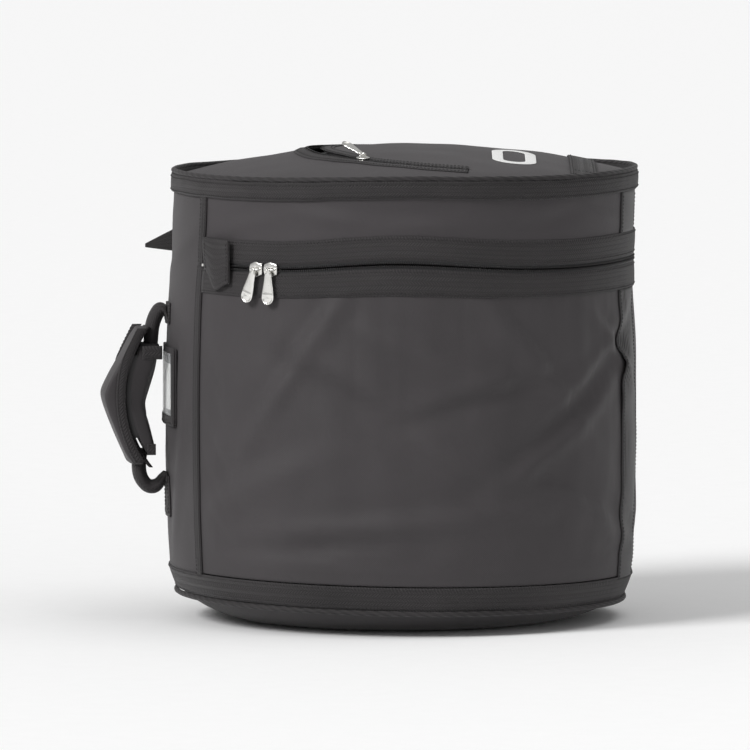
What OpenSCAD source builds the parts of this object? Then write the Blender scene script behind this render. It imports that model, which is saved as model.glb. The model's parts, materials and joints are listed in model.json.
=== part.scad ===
// Padded drum bag: a round, foam-lined nylon body with a zipped, hinged lid,
// a side grab handle with a wrap-round grip, and an address pocket behind it.
// The axis of the bag is Z. It stands on its round foot at z = 0 with its front
// towards -Y. Angles round the bag are counted from the front, positive
// towards +X.

/* [Body] */
// Radius of the wall at its fullest height
belly_r = 226; // [210:1:240]
// Height at which the wall is fullest
belly_z = 190; // [170:5:210]
// How far the wall draws in between its fullest height and the zip
belly_drop = 4.5; // [3:0.5:6]
// Height of the zip line, which splits the lid from the body
zip_z = 346; // [340:1:380]
// Radius of the flat foot under the base
foot_r = 140; // [120:1:160]
// Height of the bottom rim's lower edge above the floor
base_rise = 25; // [20:1:30]
// Width of the herringbone tape round both rims
rim_h = 23; // [18:1:26]

/* [Layers] */
// Thickness of the outer nylon
fabric_t = 1.5; // [1:0.1:2]
// Thickness of the foam padding
foam_t = 8.5; // [6:0.5:10]
// Thickness of the smooth lining
lining_t = 1.2; // [0.8:0.1:1.5]
// Thickness of webbing straps
webbing_t = 2; // [1.6:0.1:2.4]

/* [Lid] */
// Height of the top rim tape's lower edge
top_rim_z = 411; // [405:1:416]
// Height of the middle of the domed lid
dome_top_z = 454; // [450:1:458]
// Radius of the sphere that the lid's dome is cut from
dome_r = 870; // [820:10:950]
// Radius of the opening that the dome fills inside the top rim
panel_r = 219; // [212:0.5:219]

/* [Zips] */
// Width of the tape on each side of the main zip
zip_tape_h = 24; // [20:1:26]
// Thickness of the zip tape
zip_tape_t = 1.6; // [1.2:0.1:1.8]
// Gap between the two rows of teeth, in which the sliders' posts run
teeth_gap = 2.8; // [2.4:0.1:3.4]
// Place of the left main slider, in degrees from the front
left_slider_a = -37.7; // [-38:0.1:-36]
// Place of the right main slider, in degrees from the front
right_slider_a = -33.4; // [-33.4:0.1:-30]
// Sideways lean of the left slider's pull, in degrees
left_pull_lean = 18; // [0:1:20]
// Length of a main zip pull
pull_len = 33; // [26:1:36]
// Centre of the lid pocket's curved zip, to the right of the bag's axis
pocket_x = 62; // [55:1:66]
// Centre of the lid pocket's curved zip, behind the bag's axis
pocket_y = -11; // [-14:1:-6]
// Radius of the lid pocket's curved zip
pocket_r = 149; // [140:1:150]

/* [Handle and hinge panel] */
// Middle of the hinge panel and of the handle, in degrees from the front
spine_a = -84; // [-90:1:-80]
// Half width of the hinge panel, in degrees
spine_half_a = 25; // [22:1:27]
// Width of the handle webbing
handle_w = 38; // [30:1:40]
// Width of the padded grip
grip_w = 60; // [50:1:64]
// Height of the middle of the handle
handle_z = 215; // [212:1:220]

/* [Straps and tabs] */
// Width of the strap sewn up the right side
side_strap_w = 50; // [38:1:52]
// Middle of the right side strap, in degrees from the front
side_strap_a = 74.5; // [70:0.5:80]
// Length of the folded tab over the front end of the zip
front_tab_l = 42; // [36:1:44]

/* [Hidden] */
$fn = 96;

// Body and lid wall
lid_r = belly_r - belly_drop;
deg_per_mm = 360 / (2 * PI * lid_r);
foam_gap = 5;
ply_gap = 0.05;
hinge_gap = 0.5;
wall_top_z = zip_z - foam_gap;
lid_bottom_z = zip_z + foam_gap;
layers_t = fabric_t + foam_t;
wall_steps = 8;
bottom_rim_top_z = base_rise + rim_h;
wall_bottom_z = bottom_rim_top_z + hinge_gap;

// Hinge panel and seams
hinge_front_a = spine_a + spine_half_a;
hinge_rear_a = spine_a - spine_half_a + 360;
seam_w = 11;
seam_half_a = seam_w * deg_per_mm / 2;

// Base and rims
base_corner_r = 119;
base_edge_r = 213;
base_inner_r = 211.5;
rim_t = 2.6;
rim_taper = 5;
piping_r = 2.4;
lip_h = 18;
lip_fold_h = 4;
lip_inner_r = panel_r + 0.3;

// Domed lid
dome_z = dome_top_z - dome_r;
dome_fn = 720;
dome_foam_r = lid_r - layers_t - 0.3;
dome_lining_r = dome_foam_r - lining_t;
lid_band_top_z = 423;
lid_strap_x = 157;
lid_strap_w = 25;
lid_strap_l = 256;
print_x = 104;
print_y = -68;
print_w = 42;
print_l = 86;
print_t = 0.3;

// Main zip
teeth_h = 1.8;
teeth_t = 2.4;
teeth_inset = 0.2;
stop_l = 3;
stop_h = 2.3;

// Zip sliders and pulls
slider_l = 15;
slider_w = 14;
plate_t = 2;
plate_gap = 2.6;
back_plate_w = 8;
back_plate_gap = 1.1;
post_l = 5;
post_w = 2.2;
bar_r = 1.1;
bar_clearance = 0.06;
bar_z = plate_gap + plate_t + 3;
bar_l = 10.4;
bar_post_t = 1.8;
knuckle_r = 2.4;
knuckle_l = 5;
pull_t = 1.6;
pull_neck_w = 5;
pull_end_r = 6.5;
dimple_r = 4;
dimple_depth = 0.4;

// Lid pocket zip
pocket_scale = 0.8;
pocket_start_a = -91;
pocket_slider_a = -133;
pocket_end_a = -230;
pocket_pull_lift = 22;
pocket_tape_w = 26;
pocket_tape_t = 0.8;
pocket_teeth_w = 1.6;
pocket_teeth_gap = 2.4;
pocket_off_r = sqrt(pocket_x * pocket_x + pocket_y * pocket_y);
pocket_tilt = asin(pocket_off_r / dome_r);
pocket_turn = atan2(pocket_y, pocket_x);
pocket_cone_a = asin(pocket_r / dome_r);

// Address pocket behind the handle
id_r = belly_r;
id_bottom_z = 187;
id_top_z = 262;
id_half_a = 13;
id_border_a = 2.6;
id_border_h = 10;
backing_t = 1.2;
card_t = 0.5;
card_z = 203;
card_h = 44;
card_slack_a = 0.3;
window_t = 0.6;
layer_gap = 0.2;
frame_t = 3.4;

// Handle
pivot_r = 229.8;
pivot_end_r = 2;
pivot_l = 6;
upper_pivot_z = 293;
upper_loop = [236, 291];
lower_pivot_z = 148;
lower_loop = [239, 131];
lower_turn = [233, 131];
upper_patch_z = 284;
upper_patch_h = 20;
lower_patch_z = 96;
lower_patch_h = 40;
bow_fn = 192;
joint_fn = 32;
neck_w = 12;
handle_bow_r = 115;
handle_bow_x = 151;
handle_half_h = 68;
webbing_fold_t = 3;
joint_bulge = 0.1;
grip_back_r = 84;
grip_back_x = 203;
grip_pad_t = 10;
grip_gap = 0.3;
outer_pad_half_h = 67;
inner_pad_half_h = 42;
binding_w = 9;
binding_t = 1.2;
outer_binding_trim = 8;
inner_binding_trim = 2;
fastener_trim = 4;
fastener_w = 9;
patch_half_a = handle_w * deg_per_mm / 2;

// Zip tabs
tab_t = 3;
front_tab_a = -56;
front_tab_r = lid_r + zip_tape_t + 1.4;
front_tab_top = 26;
front_tab_low = 18;
rear_tab_gap = 1.9;
rear_tab_l = 36;
rear_tab_top = 26;
rear_tab_apex = 6;
rear_tab_end_h = 4;

fabric_c = [0.29, 0.27, 0.28];
tape_c = [0.22, 0.21, 0.215];
foam_c = [0.75, 0.75, 0.72];
lining_c = [0.14, 0.14, 0.15];
metal_c = [0.8, 0.8, 0.8];
white_c = [0.9, 0.9, 0.9];
clear_c = [0.7, 0.75, 0.8, 0.5];

// Heights between which the wall's outer face runs straight
wall_zs = [for (i = [0:wall_steps]) wall_bottom_z + (zip_z - wall_bottom_z) * i / wall_steps];

// Radius of the wall's outer face at height z
function bowed_r(z) = belly_r - belly_drop * pow((z - belly_z) / (zip_z - belly_z), 2);
function wall_r(z) = lookup(z, [for (h = wall_zs) [h, bowed_r(h)]]);

// Turns a profile drawn in radius and height through the angles from a0 to a1
module turned(a0 = 0, a1 = 360) {
    rotate([0, 0, a0 - 90]) rotate_extrude(angle = a1 - a0) children();
}

// Layer of the bowed wall between two heights, its outer face set in from the wall's
module wall_layer(z0, z1, inset, thick, a0 = 0, a1 = 360) {
    between = [for (h = wall_zs) if (h > z0 && h < z1) h];
    heights = concat([z0], between, [z1]);
    last = len(heights) - 1;
    outer = [for (z = heights) [wall_r(z) - inset, z]];
    inner = [for (i = [last:-1:0]) [wall_r(heights[i]) - inset - thick, heights[i]]];
    turned(a0, a1) polygon(concat(outer, inner));
}

// Ring, or part of one, between two radii and two heights
module ring_part(r0, r1, z0, z1, a0 = 0, a1 = 360) {
    turned(a0, a1) translate([r0, z0]) square([r1 - r0, z1 - z0]);
}

// Stands a sketch of radius and height upright at angle a, w wide along the wall
module standing(a, w) {
    rotate([0, 0, a]) rotate([90, 0, -90])
        translate([0, 0, -w / 2]) linear_extrude(w) children();
}

// ---- Base ----

// Section of everything above the base's outer face, raised by d
module above_base(d) {
    translate([0, d]) square([foot_r, base_corner_r - d]);
    translate([foot_r, base_corner_r]) circle(base_corner_r - d, $fn = dome_fn);
}

// One layer of the dished base
module base_layer(d, thick, edge_r) {
    turned() intersection() {
        difference() {
            above_base(d);
            above_base(d + thick);
        }
        square([edge_r, base_corner_r / 2]);
    }
}

module base_panel() {
    color(fabric_c) base_layer(0, fabric_t, base_edge_r);
}

module base_foam() {
    color(foam_c) base_layer(fabric_t, foam_t, base_inner_r);
}

module base_lining() {
    color(lining_c) base_layer(layers_t, lining_t, base_inner_r - lining_t);
}

module bottom_rim_tape() {
    color(tape_c) turned() polygon([
        [base_edge_r, base_rise],
        [base_edge_r + rim_t, base_rise],
        [base_edge_r + rim_taper + rim_t, bottom_rim_top_z],
        [base_edge_r, bottom_rim_top_z]
    ]);
}

module bottom_rim_piping() {
    color(tape_c) turned()
        translate([base_edge_r + piping_r, base_rise - piping_r]) circle(piping_r);
}

// ---- Body wall ----

module body_shell() {
    color(fabric_c)
        wall_layer(wall_bottom_z, wall_top_z, 0, fabric_t, hinge_front_a, hinge_rear_a);
}

module hinge_panel_lower() {
    color(fabric_c) wall_layer(
        wall_bottom_z, zip_z - hinge_gap, 0, fabric_t, hinge_rear_a - 360, hinge_front_a
    );
}

module body_foam() {
    color(foam_c)
        wall_layer(wall_bottom_z, wall_top_z, fabric_t + ply_gap, foam_t - ply_gap);
}

module body_lining() {
    color(lining_c) wall_layer(wall_bottom_z, wall_top_z, layers_t, lining_t);
}

// Binding tape over a seam of the body wall at angle a
module seam_lower(a) {
    color(tape_c) wall_layer(
        wall_bottom_z, zip_z - hinge_gap, -webbing_t, webbing_t, a - seam_half_a, a + seam_half_a
    );
}

module front_seam_lower() {
    seam_lower(hinge_front_a);
}

module rear_seam_lower() {
    seam_lower(hinge_rear_a);
}

module side_strap_lower() {
    half_a = side_strap_w * deg_per_mm / 2;
    color(tape_c) wall_layer(
        wall_bottom_z, zip_z - teeth_gap / 2 - teeth_h - zip_tape_h, -webbing_t, webbing_t,
        side_strap_a - half_a, side_strap_a + half_a
    );
}

// ---- Lid ----

module lid_band_shell() {
    color(fabric_c)
        ring_part(lid_r - fabric_t, lid_r, lid_bottom_z, lid_band_top_z, hinge_front_a, hinge_rear_a);
}

module hinge_panel_upper() {
    color(fabric_c) ring_part(
        lid_r - fabric_t, lid_r, zip_z + hinge_gap, lid_band_top_z, hinge_rear_a - 360, hinge_front_a
    );
}

module lid_band_foam() {
    color(foam_c) ring_part(lid_r - layers_t, lid_r - fabric_t, lid_bottom_z, lid_band_top_z);
}

module lid_band_lining() {
    color(lining_c)
        ring_part(lid_r - layers_t - lining_t, lid_r - layers_t, lid_bottom_z, top_rim_z);
}

// One layer of the dome, d below its outer face and cut off at radius edge_r
module dome_layer(d, thick, edge_r) {
    translate([0, 0, dome_z]) turned() intersection() {
        difference() {
            circle(dome_r - d, $fn = dome_fn);
            circle(dome_r - d - thick, $fn = dome_fn);
        }
        square([edge_r, dome_r]);
    }
}

module lid_panel() {
    color(fabric_c) dome_layer(0, fabric_t, panel_r);
}

module pocket_lining() {
    color(lining_c) dome_layer(fabric_t, lining_t, panel_r);
}

module lid_foam() {
    color(foam_c) dome_layer(fabric_t + lining_t, foam_t, dome_foam_r);
}

module lid_lining() {
    color(lining_c) dome_layer(layers_t + lining_t, lining_t, dome_lining_r);
}

module top_rim_tape() {
    color(tape_c) turned() polygon([
        [lid_r, top_rim_z],
        [lid_r + rim_t, top_rim_z],
        [lid_r + rim_t, top_rim_z + lip_h],
        [lip_inner_r, top_rim_z + lip_h],
        [lip_inner_r, lid_band_top_z + lip_fold_h],
        [lid_r, lid_band_top_z]
    ]);
}

module top_rim_piping() {
    color(tape_c) turned()
        translate([lid_r + rim_t - piping_r, top_rim_z + lip_h + piping_r]) circle(piping_r);
}

// Binding tape over a seam of the lid band at angle a
module seam_upper(a) {
    color(tape_c) ring_part(
        lid_r, lid_r + webbing_t, zip_z + hinge_gap, top_rim_z, a - seam_half_a, a + seam_half_a
    );
}

module front_seam_upper() {
    seam_upper(hinge_front_a);
}

module rear_seam_upper() {
    seam_upper(hinge_rear_a);
}

module side_strap_upper() {
    half_a = side_strap_w * deg_per_mm / 2;
    color(tape_c) ring_part(
        lid_r, lid_r + webbing_t, zip_z + teeth_gap / 2 + teeth_h + zip_tape_h, top_rim_z,
        side_strap_a - half_a, side_strap_a + half_a
    );
}

module lid_strap() {
    color(tape_c) intersection() {
        dome_layer(-webbing_t, webbing_t, panel_r);
        translate([lid_strap_x, -lid_strap_l / 2, 0]) cube([lid_strap_w, lid_strap_l, 2 * dome_top_z]);
    }
}

// Plain upright bar with rounded ends, printed on the lid
module lid_print() {
    end_r = print_w / 2;
    color(white_c) intersection() {
        dome_layer(-print_t, print_t, panel_r);
        translate([print_x, print_y, 0]) linear_extrude(2 * dome_top_z) difference() {
            union() {
                square([print_w, print_l - print_w], center = true);
                translate([0, print_l / 2 - end_r]) circle(end_r);
                translate([0, end_r - print_l / 2]) circle(end_r);
            }
            circle(end_r / 2);
        }
    }
}

// ---- Main zip ----

module lower_zip_tape() {
    top_z = zip_z - teeth_gap / 2 - teeth_h;
    color(tape_c) wall_layer(
        top_z - zip_tape_h, top_z, -zip_tape_t, zip_tape_t,
        hinge_front_a + seam_half_a, hinge_rear_a - seam_half_a
    );
}

module upper_zip_tape() {
    bottom_z = zip_z + teeth_gap / 2 + teeth_h;
    color(tape_c) ring_part(
        lid_r, lid_r + zip_tape_t, bottom_z, bottom_z + zip_tape_h,
        hinge_front_a + seam_half_a, hinge_rear_a - seam_half_a
    );
}

// Row of teeth as one band, its lower face at height z
module teeth_row(z) {
    color(tape_c) ring_part(
        lid_r - teeth_inset, lid_r - teeth_inset + teeth_t, z, z + teeth_h,
        hinge_front_a + seam_half_a, hinge_rear_a - seam_half_a
    );
}

module lower_zip_teeth() {
    teeth_row(zip_z - teeth_gap / 2 - teeth_h);
}

module upper_zip_teeth() {
    teeth_row(zip_z + teeth_gap / 2);
}

module zip_end_stops() {
    stop_a = stop_l * deg_per_mm;
    for (a = [hinge_front_a + seam_half_a, hinge_rear_a - seam_half_a - stop_a])
        color(metal_c) ring_part(
            lid_r, lid_r + teeth_t - teeth_inset, zip_z - teeth_gap / 2,
            zip_z - teeth_gap / 2 + stop_h, a, a + stop_a
        );
}

// Zip slider: X runs along the zip and Z points out of it. The bar that holds the
// pull lies along X, or across the zip where bar_turn is 90
module slider(bar_turn, has_back) {
    color(metal_c) {
        translate([-slider_l / 2, -slider_w / 2, plate_gap]) cube([slider_l, slider_w, plate_t]);
        if (has_back) {
            translate([-post_l / 2, -post_w / 2, -back_plate_gap])
                cube([post_l, post_w, plate_gap + back_plate_gap]);
            translate([-slider_l / 2, -back_plate_w / 2, -back_plate_gap - plate_t])
                cube([slider_l, back_plate_w, plate_t]);
        }
        rotate([0, 0, bar_turn]) {
            translate([-bar_l / 2, 0, bar_z]) rotate([0, 90, 0]) cylinder(r = bar_r, h = bar_l);
            for (x = [-bar_l / 2, bar_l / 2 - bar_post_t])
                translate([x, -bar_r, plate_gap + plate_t])
                    cube([bar_post_t, 2 * bar_r, bar_z - plate_gap - plate_t + bar_r]);
        }
    }
}

// Zip pull on the slider's bar, which lies along X; it hangs towards -Y, leaning towards -X
module pull(length, lean) {
    end_y = -length + pull_end_r;
    color(metal_c) translate([0, 0, bar_z]) difference() {
        union() {
            translate([-knuckle_l / 2, 0, 0]) rotate([0, 90, 0])
                cylinder(r = knuckle_r, h = knuckle_l);
            rotate([0, 0, -lean]) translate([0, 0, -pull_t / 2]) linear_extrude(pull_t) {
                polygon([
                    [-pull_neck_w / 2, 0],
                    [-pull_end_r, end_y],
                    [pull_end_r, end_y],
                    [pull_neck_w / 2, 0]
                ]);
                translate([0, end_y]) circle(pull_end_r);
            }
        }
        translate([-knuckle_l, 0, 0]) rotate([0, 90, 0])
            cylinder(r = bar_r + bar_clearance, h = 2 * knuckle_l);
        rotate([0, 0, -lean]) translate([0, end_y, pull_t / 2 - dimple_depth])
            cylinder(r = dimple_r, h = pull_t);
    }
}

// Moves a slider or pull from its own axes to the main zip at angle a
module on_main_zip(a) {
    rotate([0, 0, a]) translate([0, -lid_r, zip_z]) rotate([90, 0, 0]) children();
}

module left_slider() {
    on_main_zip(left_slider_a) slider(0, true);
}

module right_slider() {
    on_main_zip(right_slider_a) slider(0, true);
}

module left_pull() {
    on_main_zip(left_slider_a) pull(pull_len, left_pull_lean);
}

module right_pull() {
    on_main_zip(right_slider_a) pull(pull_len, 0);
}

// ---- Lid pocket zip ----

// Axes whose Z runs from the dome's centre through the centre of the pocket's zip
module pocket_axes() {
    translate([0, 0, dome_z]) rotate([0, pocket_tilt, pocket_turn])
        rotate([0, 0, -pocket_turn]) children();
}

// Strip along the pocket's zip, from r0 to r1 off its middle line, lift above the dome
module pocket_strip(r0, r1, lift, thick) {
    pocket_axes() rotate([0, 0, pocket_end_a])
        rotate_extrude(angle = pocket_start_a - pocket_end_a)
            rotate(-pocket_cone_a) translate([r0, dome_r + lift]) square([r1 - r0, thick]);
}

module pocket_zip_tape() {
    color(tape_c) pocket_strip(-pocket_tape_w / 2, pocket_tape_w / 2, 0, pocket_tape_t);
}

module pocket_zip_teeth() {
    inner = pocket_teeth_gap / 2;
    color(tape_c) {
        pocket_strip(inner, inner + pocket_teeth_w, pocket_tape_t, pocket_teeth_w / 2);
        pocket_strip(-inner - pocket_teeth_w, -inner, pocket_tape_t, pocket_teeth_w / 2);
    }
}

// Moves a slider or pull to its place on the pocket's zip, its X along the zip
module on_pocket_zip() {
    pocket_axes() rotate([0, 0, pocket_slider_a]) rotate([0, pocket_cone_a, 0])
        translate([0, 0, dome_r]) rotate([0, 0, 90]) scale(pocket_scale) children();
}

module pocket_slider() {
    on_pocket_zip() slider(90, false);
}

module pocket_pull() {
    on_pocket_zip() translate([0, 0, bar_z]) rotate([0, pocket_pull_lift, 0])
        translate([0, 0, -bar_z]) rotate([0, 0, -90]) pull(pull_len, 0);
}

// ---- Tabs over the ends of the main zip ----

module front_tab() {
    color(tape_c) rotate([0, 0, front_tab_a]) translate([0, -front_tab_r, zip_z]) rotate([90, 0, 0])
        linear_extrude(tab_t) polygon([
            [0, -tab_t],
            [front_tab_l, -front_tab_low],
            [front_tab_l, front_tab_top],
            [0, front_tab_top]
        ]);
}

module rear_tab() {
    inner_r = lid_r + webbing_t + rear_tab_gap;
    color(tape_c) standing(hinge_rear_a, tab_t) polygon([
        [inner_r, zip_z + hinge_gap],
        [inner_r + rear_tab_l, zip_z + rear_tab_apex - rear_tab_end_h / 2],
        [inner_r + rear_tab_l, zip_z + rear_tab_apex + rear_tab_end_h / 2],
        [inner_r, zip_z + rear_tab_top]
    ]);
}

// ---- Address pocket ----

// Layer of the address pocket at height above its backing's inner face
module id_layer(lift, thick, z0, z1, half_a) {
    ring_part(id_r + lift, id_r + lift + thick, z0, z1, spine_a - half_a, spine_a + half_a);
}

module id_backing() {
    color(fabric_c) id_layer(0, backing_t, id_bottom_z, id_top_z, id_half_a);
}

module id_card() {
    color(white_c) id_layer(
        backing_t + layer_gap, card_t, card_z, card_z + card_h, id_half_a - id_border_a - card_slack_a
    );
}

module id_window() {
    color(clear_c) id_layer(
        backing_t + card_t + 2 * layer_gap, window_t, id_bottom_z + id_border_h,
        id_top_z - id_border_h, id_half_a - id_border_a
    );
}

module id_frame() {
    slot_t = backing_t + card_t + 2 * layer_gap;
    color(tape_c) difference() {
        id_layer(backing_t, frame_t - backing_t, id_bottom_z, id_top_z, id_half_a);
        id_layer(0, 2 * frame_t, id_bottom_z + id_border_h, id_top_z - id_border_h,
            id_half_a - id_border_a);
        id_layer(0, slot_t, id_top_z - 2 * id_border_h, id_top_z + id_border_h,
            id_half_a - id_border_a);
    }
}

// ---- Handle ----

module upper_handle_patch() {
    color(tape_c) wall_layer(
        upper_patch_z, upper_patch_z + upper_patch_h, -webbing_t, webbing_t,
        spine_a - patch_half_a, spine_a + patch_half_a
    );
}

module lower_handle_patch() {
    color(tape_c) wall_layer(
        lower_patch_z, lower_patch_z + lower_patch_h, -webbing_t, webbing_t,
        spine_a - patch_half_a, spine_a + patch_half_a
    );
}

// Section of the bowed handle between two radii, within half_h of its middle height
module bow(r0, r1, half_h) {
    intersection() {
        translate([handle_bow_x, handle_z]) difference() {
            circle(r1, $fn = bow_fn);
            circle(r0, $fn = bow_fn);
        }
        translate([pivot_r, handle_z - half_h]) square([handle_bow_r, 2 * half_h]);
    }
}

// Section of a strap that follows the points given
module strap_section(points) {
    for (i = [0:len(points) - 2]) {
        run = points[i + 1] - points[i];
        translate(points[i]) rotate(atan2(run[1], run[0])) translate([0, -webbing_fold_t / 2])
            square([norm(run), webbing_fold_t]);
    }
    for (p = points)
        translate(p) circle(webbing_fold_t / 2 + joint_bulge, $fn = joint_fn);
}

module handle_webbing() {
    end_x = handle_bow_x + sqrt(pow(handle_bow_r, 2) - pow(handle_half_h, 2));
    color(tape_c) {
        standing(spine_a, handle_w)
            bow(handle_bow_r - webbing_fold_t / 2, handle_bow_r + webbing_fold_t / 2, handle_half_h);
        standing(spine_a, neck_w) {
            strap_section([
                [end_x, handle_z + handle_half_h], upper_loop, [pivot_r, upper_pivot_z]
            ]);
            strap_section([
                [end_x, handle_z - handle_half_h], lower_loop, lower_turn, [pivot_r, lower_pivot_z]
            ]);
        }
        rotate([0, 0, spine_a]) for (z = [lower_pivot_z, upper_pivot_z])
            translate([0, -pivot_r, z - pivot_l / 2]) cylinder(r = pivot_end_r, h = pivot_l);
    }
}

module grip_outer_pad() {
    inner = handle_bow_r + webbing_fold_t / 2 + grip_gap;
    color(fabric_c) standing(spine_a, grip_w) intersection() {
        bow(inner, 2 * handle_bow_r, outer_pad_half_h);
        translate([grip_back_x, handle_z]) circle(grip_back_r, $fn = bow_fn);
    }
}

module grip_inner_pad() {
    outer = handle_bow_r - webbing_fold_t / 2 - grip_gap;
    color(fabric_c) standing(spine_a, grip_w) bow(outer - grip_pad_t, outer, inner_pad_half_h);
}

// Binding on both side edges of a pad, between two bow radii
module grip_binding(r0, r1, half_h) {
    for (side = [-1, 1])
        color(tape_c) rotate([0, 0, spine_a]) translate([side * (grip_w + binding_t) / 2, 0, 0])
            rotate([0, 0, -spine_a]) standing(spine_a, binding_t) bow(r0, r1, half_h);
}

module grip_outer_binding() {
    inner = handle_bow_r + webbing_fold_t / 2 + grip_gap;
    grip_binding(inner, inner + binding_w, outer_pad_half_h - outer_binding_trim);
}

module grip_inner_binding() {
    outer = handle_bow_r - webbing_fold_t / 2 - grip_gap;
    grip_binding(outer - binding_w, outer, inner_pad_half_h - inner_binding_trim);
}

// Hook-and-loop strips that close the two pads round the webbing
module grip_fastener() {
    for (side = [-1, 1])
        color(lining_c) rotate([0, 0, spine_a]) translate([side * (grip_w - fastener_w) / 2, 0, 0])
            rotate([0, 0, -spine_a]) standing(spine_a, fastener_w)
                bow(handle_bow_r - webbing_fold_t / 2, handle_bow_r + webbing_fold_t / 2,
                    inner_pad_half_h - fastener_trim);
}

body_shell();
hinge_panel_lower();
body_foam();
body_lining();
base_panel();
base_foam();
base_lining();
bottom_rim_tape();
bottom_rim_piping();
front_seam_lower();
rear_seam_lower();
lower_zip_tape();
lower_zip_teeth();
zip_end_stops();
side_strap_lower();
upper_handle_patch();
lower_handle_patch();
id_backing();
id_frame();
id_window();
id_card();
lid_band_shell();
hinge_panel_upper();
lid_band_foam();
lid_band_lining();
lid_panel();
pocket_lining();
lid_foam();
lid_lining();
top_rim_tape();
top_rim_piping();
front_seam_upper();
rear_seam_upper();
upper_zip_tape();
upper_zip_teeth();
side_strap_upper();
lid_strap();
lid_print();
pocket_zip_tape();
pocket_zip_teeth();
left_slider();
left_pull();
right_slider();
right_pull();
pocket_slider();
pocket_pull();
front_tab();
rear_tab();
handle_webbing();
grip_outer_pad();
grip_inner_pad();
grip_outer_binding();
grip_inner_binding();
grip_fastener();
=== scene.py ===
"""Padded drum bag: cloth, webbing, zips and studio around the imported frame."""
import json
import math
import random

import bmesh
import bpy
from mathutils import Matrix, Vector, noise


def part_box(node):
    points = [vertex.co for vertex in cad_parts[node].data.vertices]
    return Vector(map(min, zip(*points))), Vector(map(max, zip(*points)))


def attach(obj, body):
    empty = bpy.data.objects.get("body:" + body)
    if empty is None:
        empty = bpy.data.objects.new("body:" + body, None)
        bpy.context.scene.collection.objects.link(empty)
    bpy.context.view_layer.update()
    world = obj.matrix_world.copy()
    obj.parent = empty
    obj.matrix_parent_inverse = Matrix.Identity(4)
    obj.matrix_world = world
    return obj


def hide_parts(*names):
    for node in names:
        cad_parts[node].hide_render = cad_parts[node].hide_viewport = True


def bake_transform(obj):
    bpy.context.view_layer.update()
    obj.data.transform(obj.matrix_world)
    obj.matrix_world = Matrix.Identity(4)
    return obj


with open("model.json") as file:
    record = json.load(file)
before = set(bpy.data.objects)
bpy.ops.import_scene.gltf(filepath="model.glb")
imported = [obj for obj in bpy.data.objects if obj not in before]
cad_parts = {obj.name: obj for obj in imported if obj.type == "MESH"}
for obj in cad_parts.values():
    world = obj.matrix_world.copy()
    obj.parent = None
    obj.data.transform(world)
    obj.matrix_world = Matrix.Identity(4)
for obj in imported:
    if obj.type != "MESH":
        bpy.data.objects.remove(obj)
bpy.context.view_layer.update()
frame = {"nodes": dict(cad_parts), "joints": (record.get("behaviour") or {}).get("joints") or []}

MM = 0.001
JOINTS = {joint["name"]: joint for joint in frame["joints"]}


def low(node):
    """Lowest corner of a CAD node."""
    return Vector(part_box(node)[0])


def high(node):
    """Highest corner of a CAD node."""
    return Vector(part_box(node)[1])


def angle_of(point):
    """Angle round the bag from the front, positive towards +X."""
    return math.atan2(point[0], -point[1])


# ---- Sizes taken from the frame ----

ZIP_Z = JOINTS["lid_hinge"]["pos_m"][2]
SPINE = angle_of(JOINTS["lid_hinge"]["pos_m"])
BELLY_R = high("body_shell").x
LID_R = high("lid_band_shell").x
BELLY_Z = 190 * MM
WALL_BOTTOM = low("body_shell").z
WALL_TOP = high("body_shell").z
LID_BOTTOM = low("lid_band_shell").z
RIM_LOW = low("bottom_rim_tape").z
RIM_HIGH = high("bottom_rim_tape").z
TOP_RIM_LOW = low("top_rim_tape").z
TOP_RIM_HIGH = high("top_rim_tape").z
LIP_TOP = high("top_rim_piping").z
BASE_R = high("base_panel").x
DOME_TOP = high("lid_panel").z
DOME_R = 870 * MM
PANEL_R = high("lid_panel").x
FABRIC = 1.5 * MM
LAYERS = 11.2 * MM
TAPE_W = high("upper_zip_tape").z - low("upper_zip_tape").z
TAPE_T = 1.6 * MM
TEETH_GAP = 2.8 * MM
SEAM_HALF = 5.5 * MM / LID_R
HINGE_FRONT = SPINE + math.radians(25)
HINGE_REAR = SPINE - math.radians(25) + 2 * math.pi
STRAP_MID = math.radians(74.5)
STRAP_W = 50 * MM
LEFT_SLIDER = angle_of(JOINTS["left_pull_swing"]["pos_m"])
RIGHT_SLIDER = angle_of(JOINTS["right_pull_swing"]["pos_m"])


# ---- The soft shape of the bag ----

def smooth_step(x):
    x = min(1.0, max(0.0, x))
    return x * x * (3 - 2 * x)


def wrap(angle):
    """The angle brought into -pi to pi."""
    return (angle + math.pi) % (2 * math.pi) - math.pi


def bump(x, width):
    return math.exp(-(x / width) ** 2)


def slump(point):
    """Moves an ideal point to where the soft bag stands: it leans, tilts and waves a little."""
    angle = angle_of(point)
    z = point.z
    shoulder = smooth_step((z - 300 * MM) / (130 * MM))
    foot = 1 - smooth_step(z / (250 * MM))
    near_zip = bump(z - ZIP_Z - 12 * MM, 52 * MM)
    rise = -4.0 * foot * math.sin(angle) + 1.5 * shoulder * math.sin(angle)
    rise += near_zip * (6.0 * bump(wrap(angle + 0.06), 0.36) + 0.9 * math.sin(5 * angle + 0.8))
    rise += 0.7 * shoulder * math.sin(4 * angle + 1.7)
    rise *= smooth_step(math.hypot(point.x, point.y) / BELLY_R)
    if z < RIM_LOW:
        rise *= max(0.0, z / RIM_LOW)
    return Vector((point.x + 4 * MM * shoulder, point.y, z + rise * MM))


def polar(radius, angle, z):
    return Vector((radius * math.sin(angle), -radius * math.cos(angle), z))


def wall_radius(z):
    """Radius of the wall's outer face at height z, as the frame has it."""
    draw_in = ((z - BELLY_Z) / (ZIP_Z - BELLY_Z)) ** 2
    return BELLY_R - (BELLY_R - LID_R) * draw_in


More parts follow.
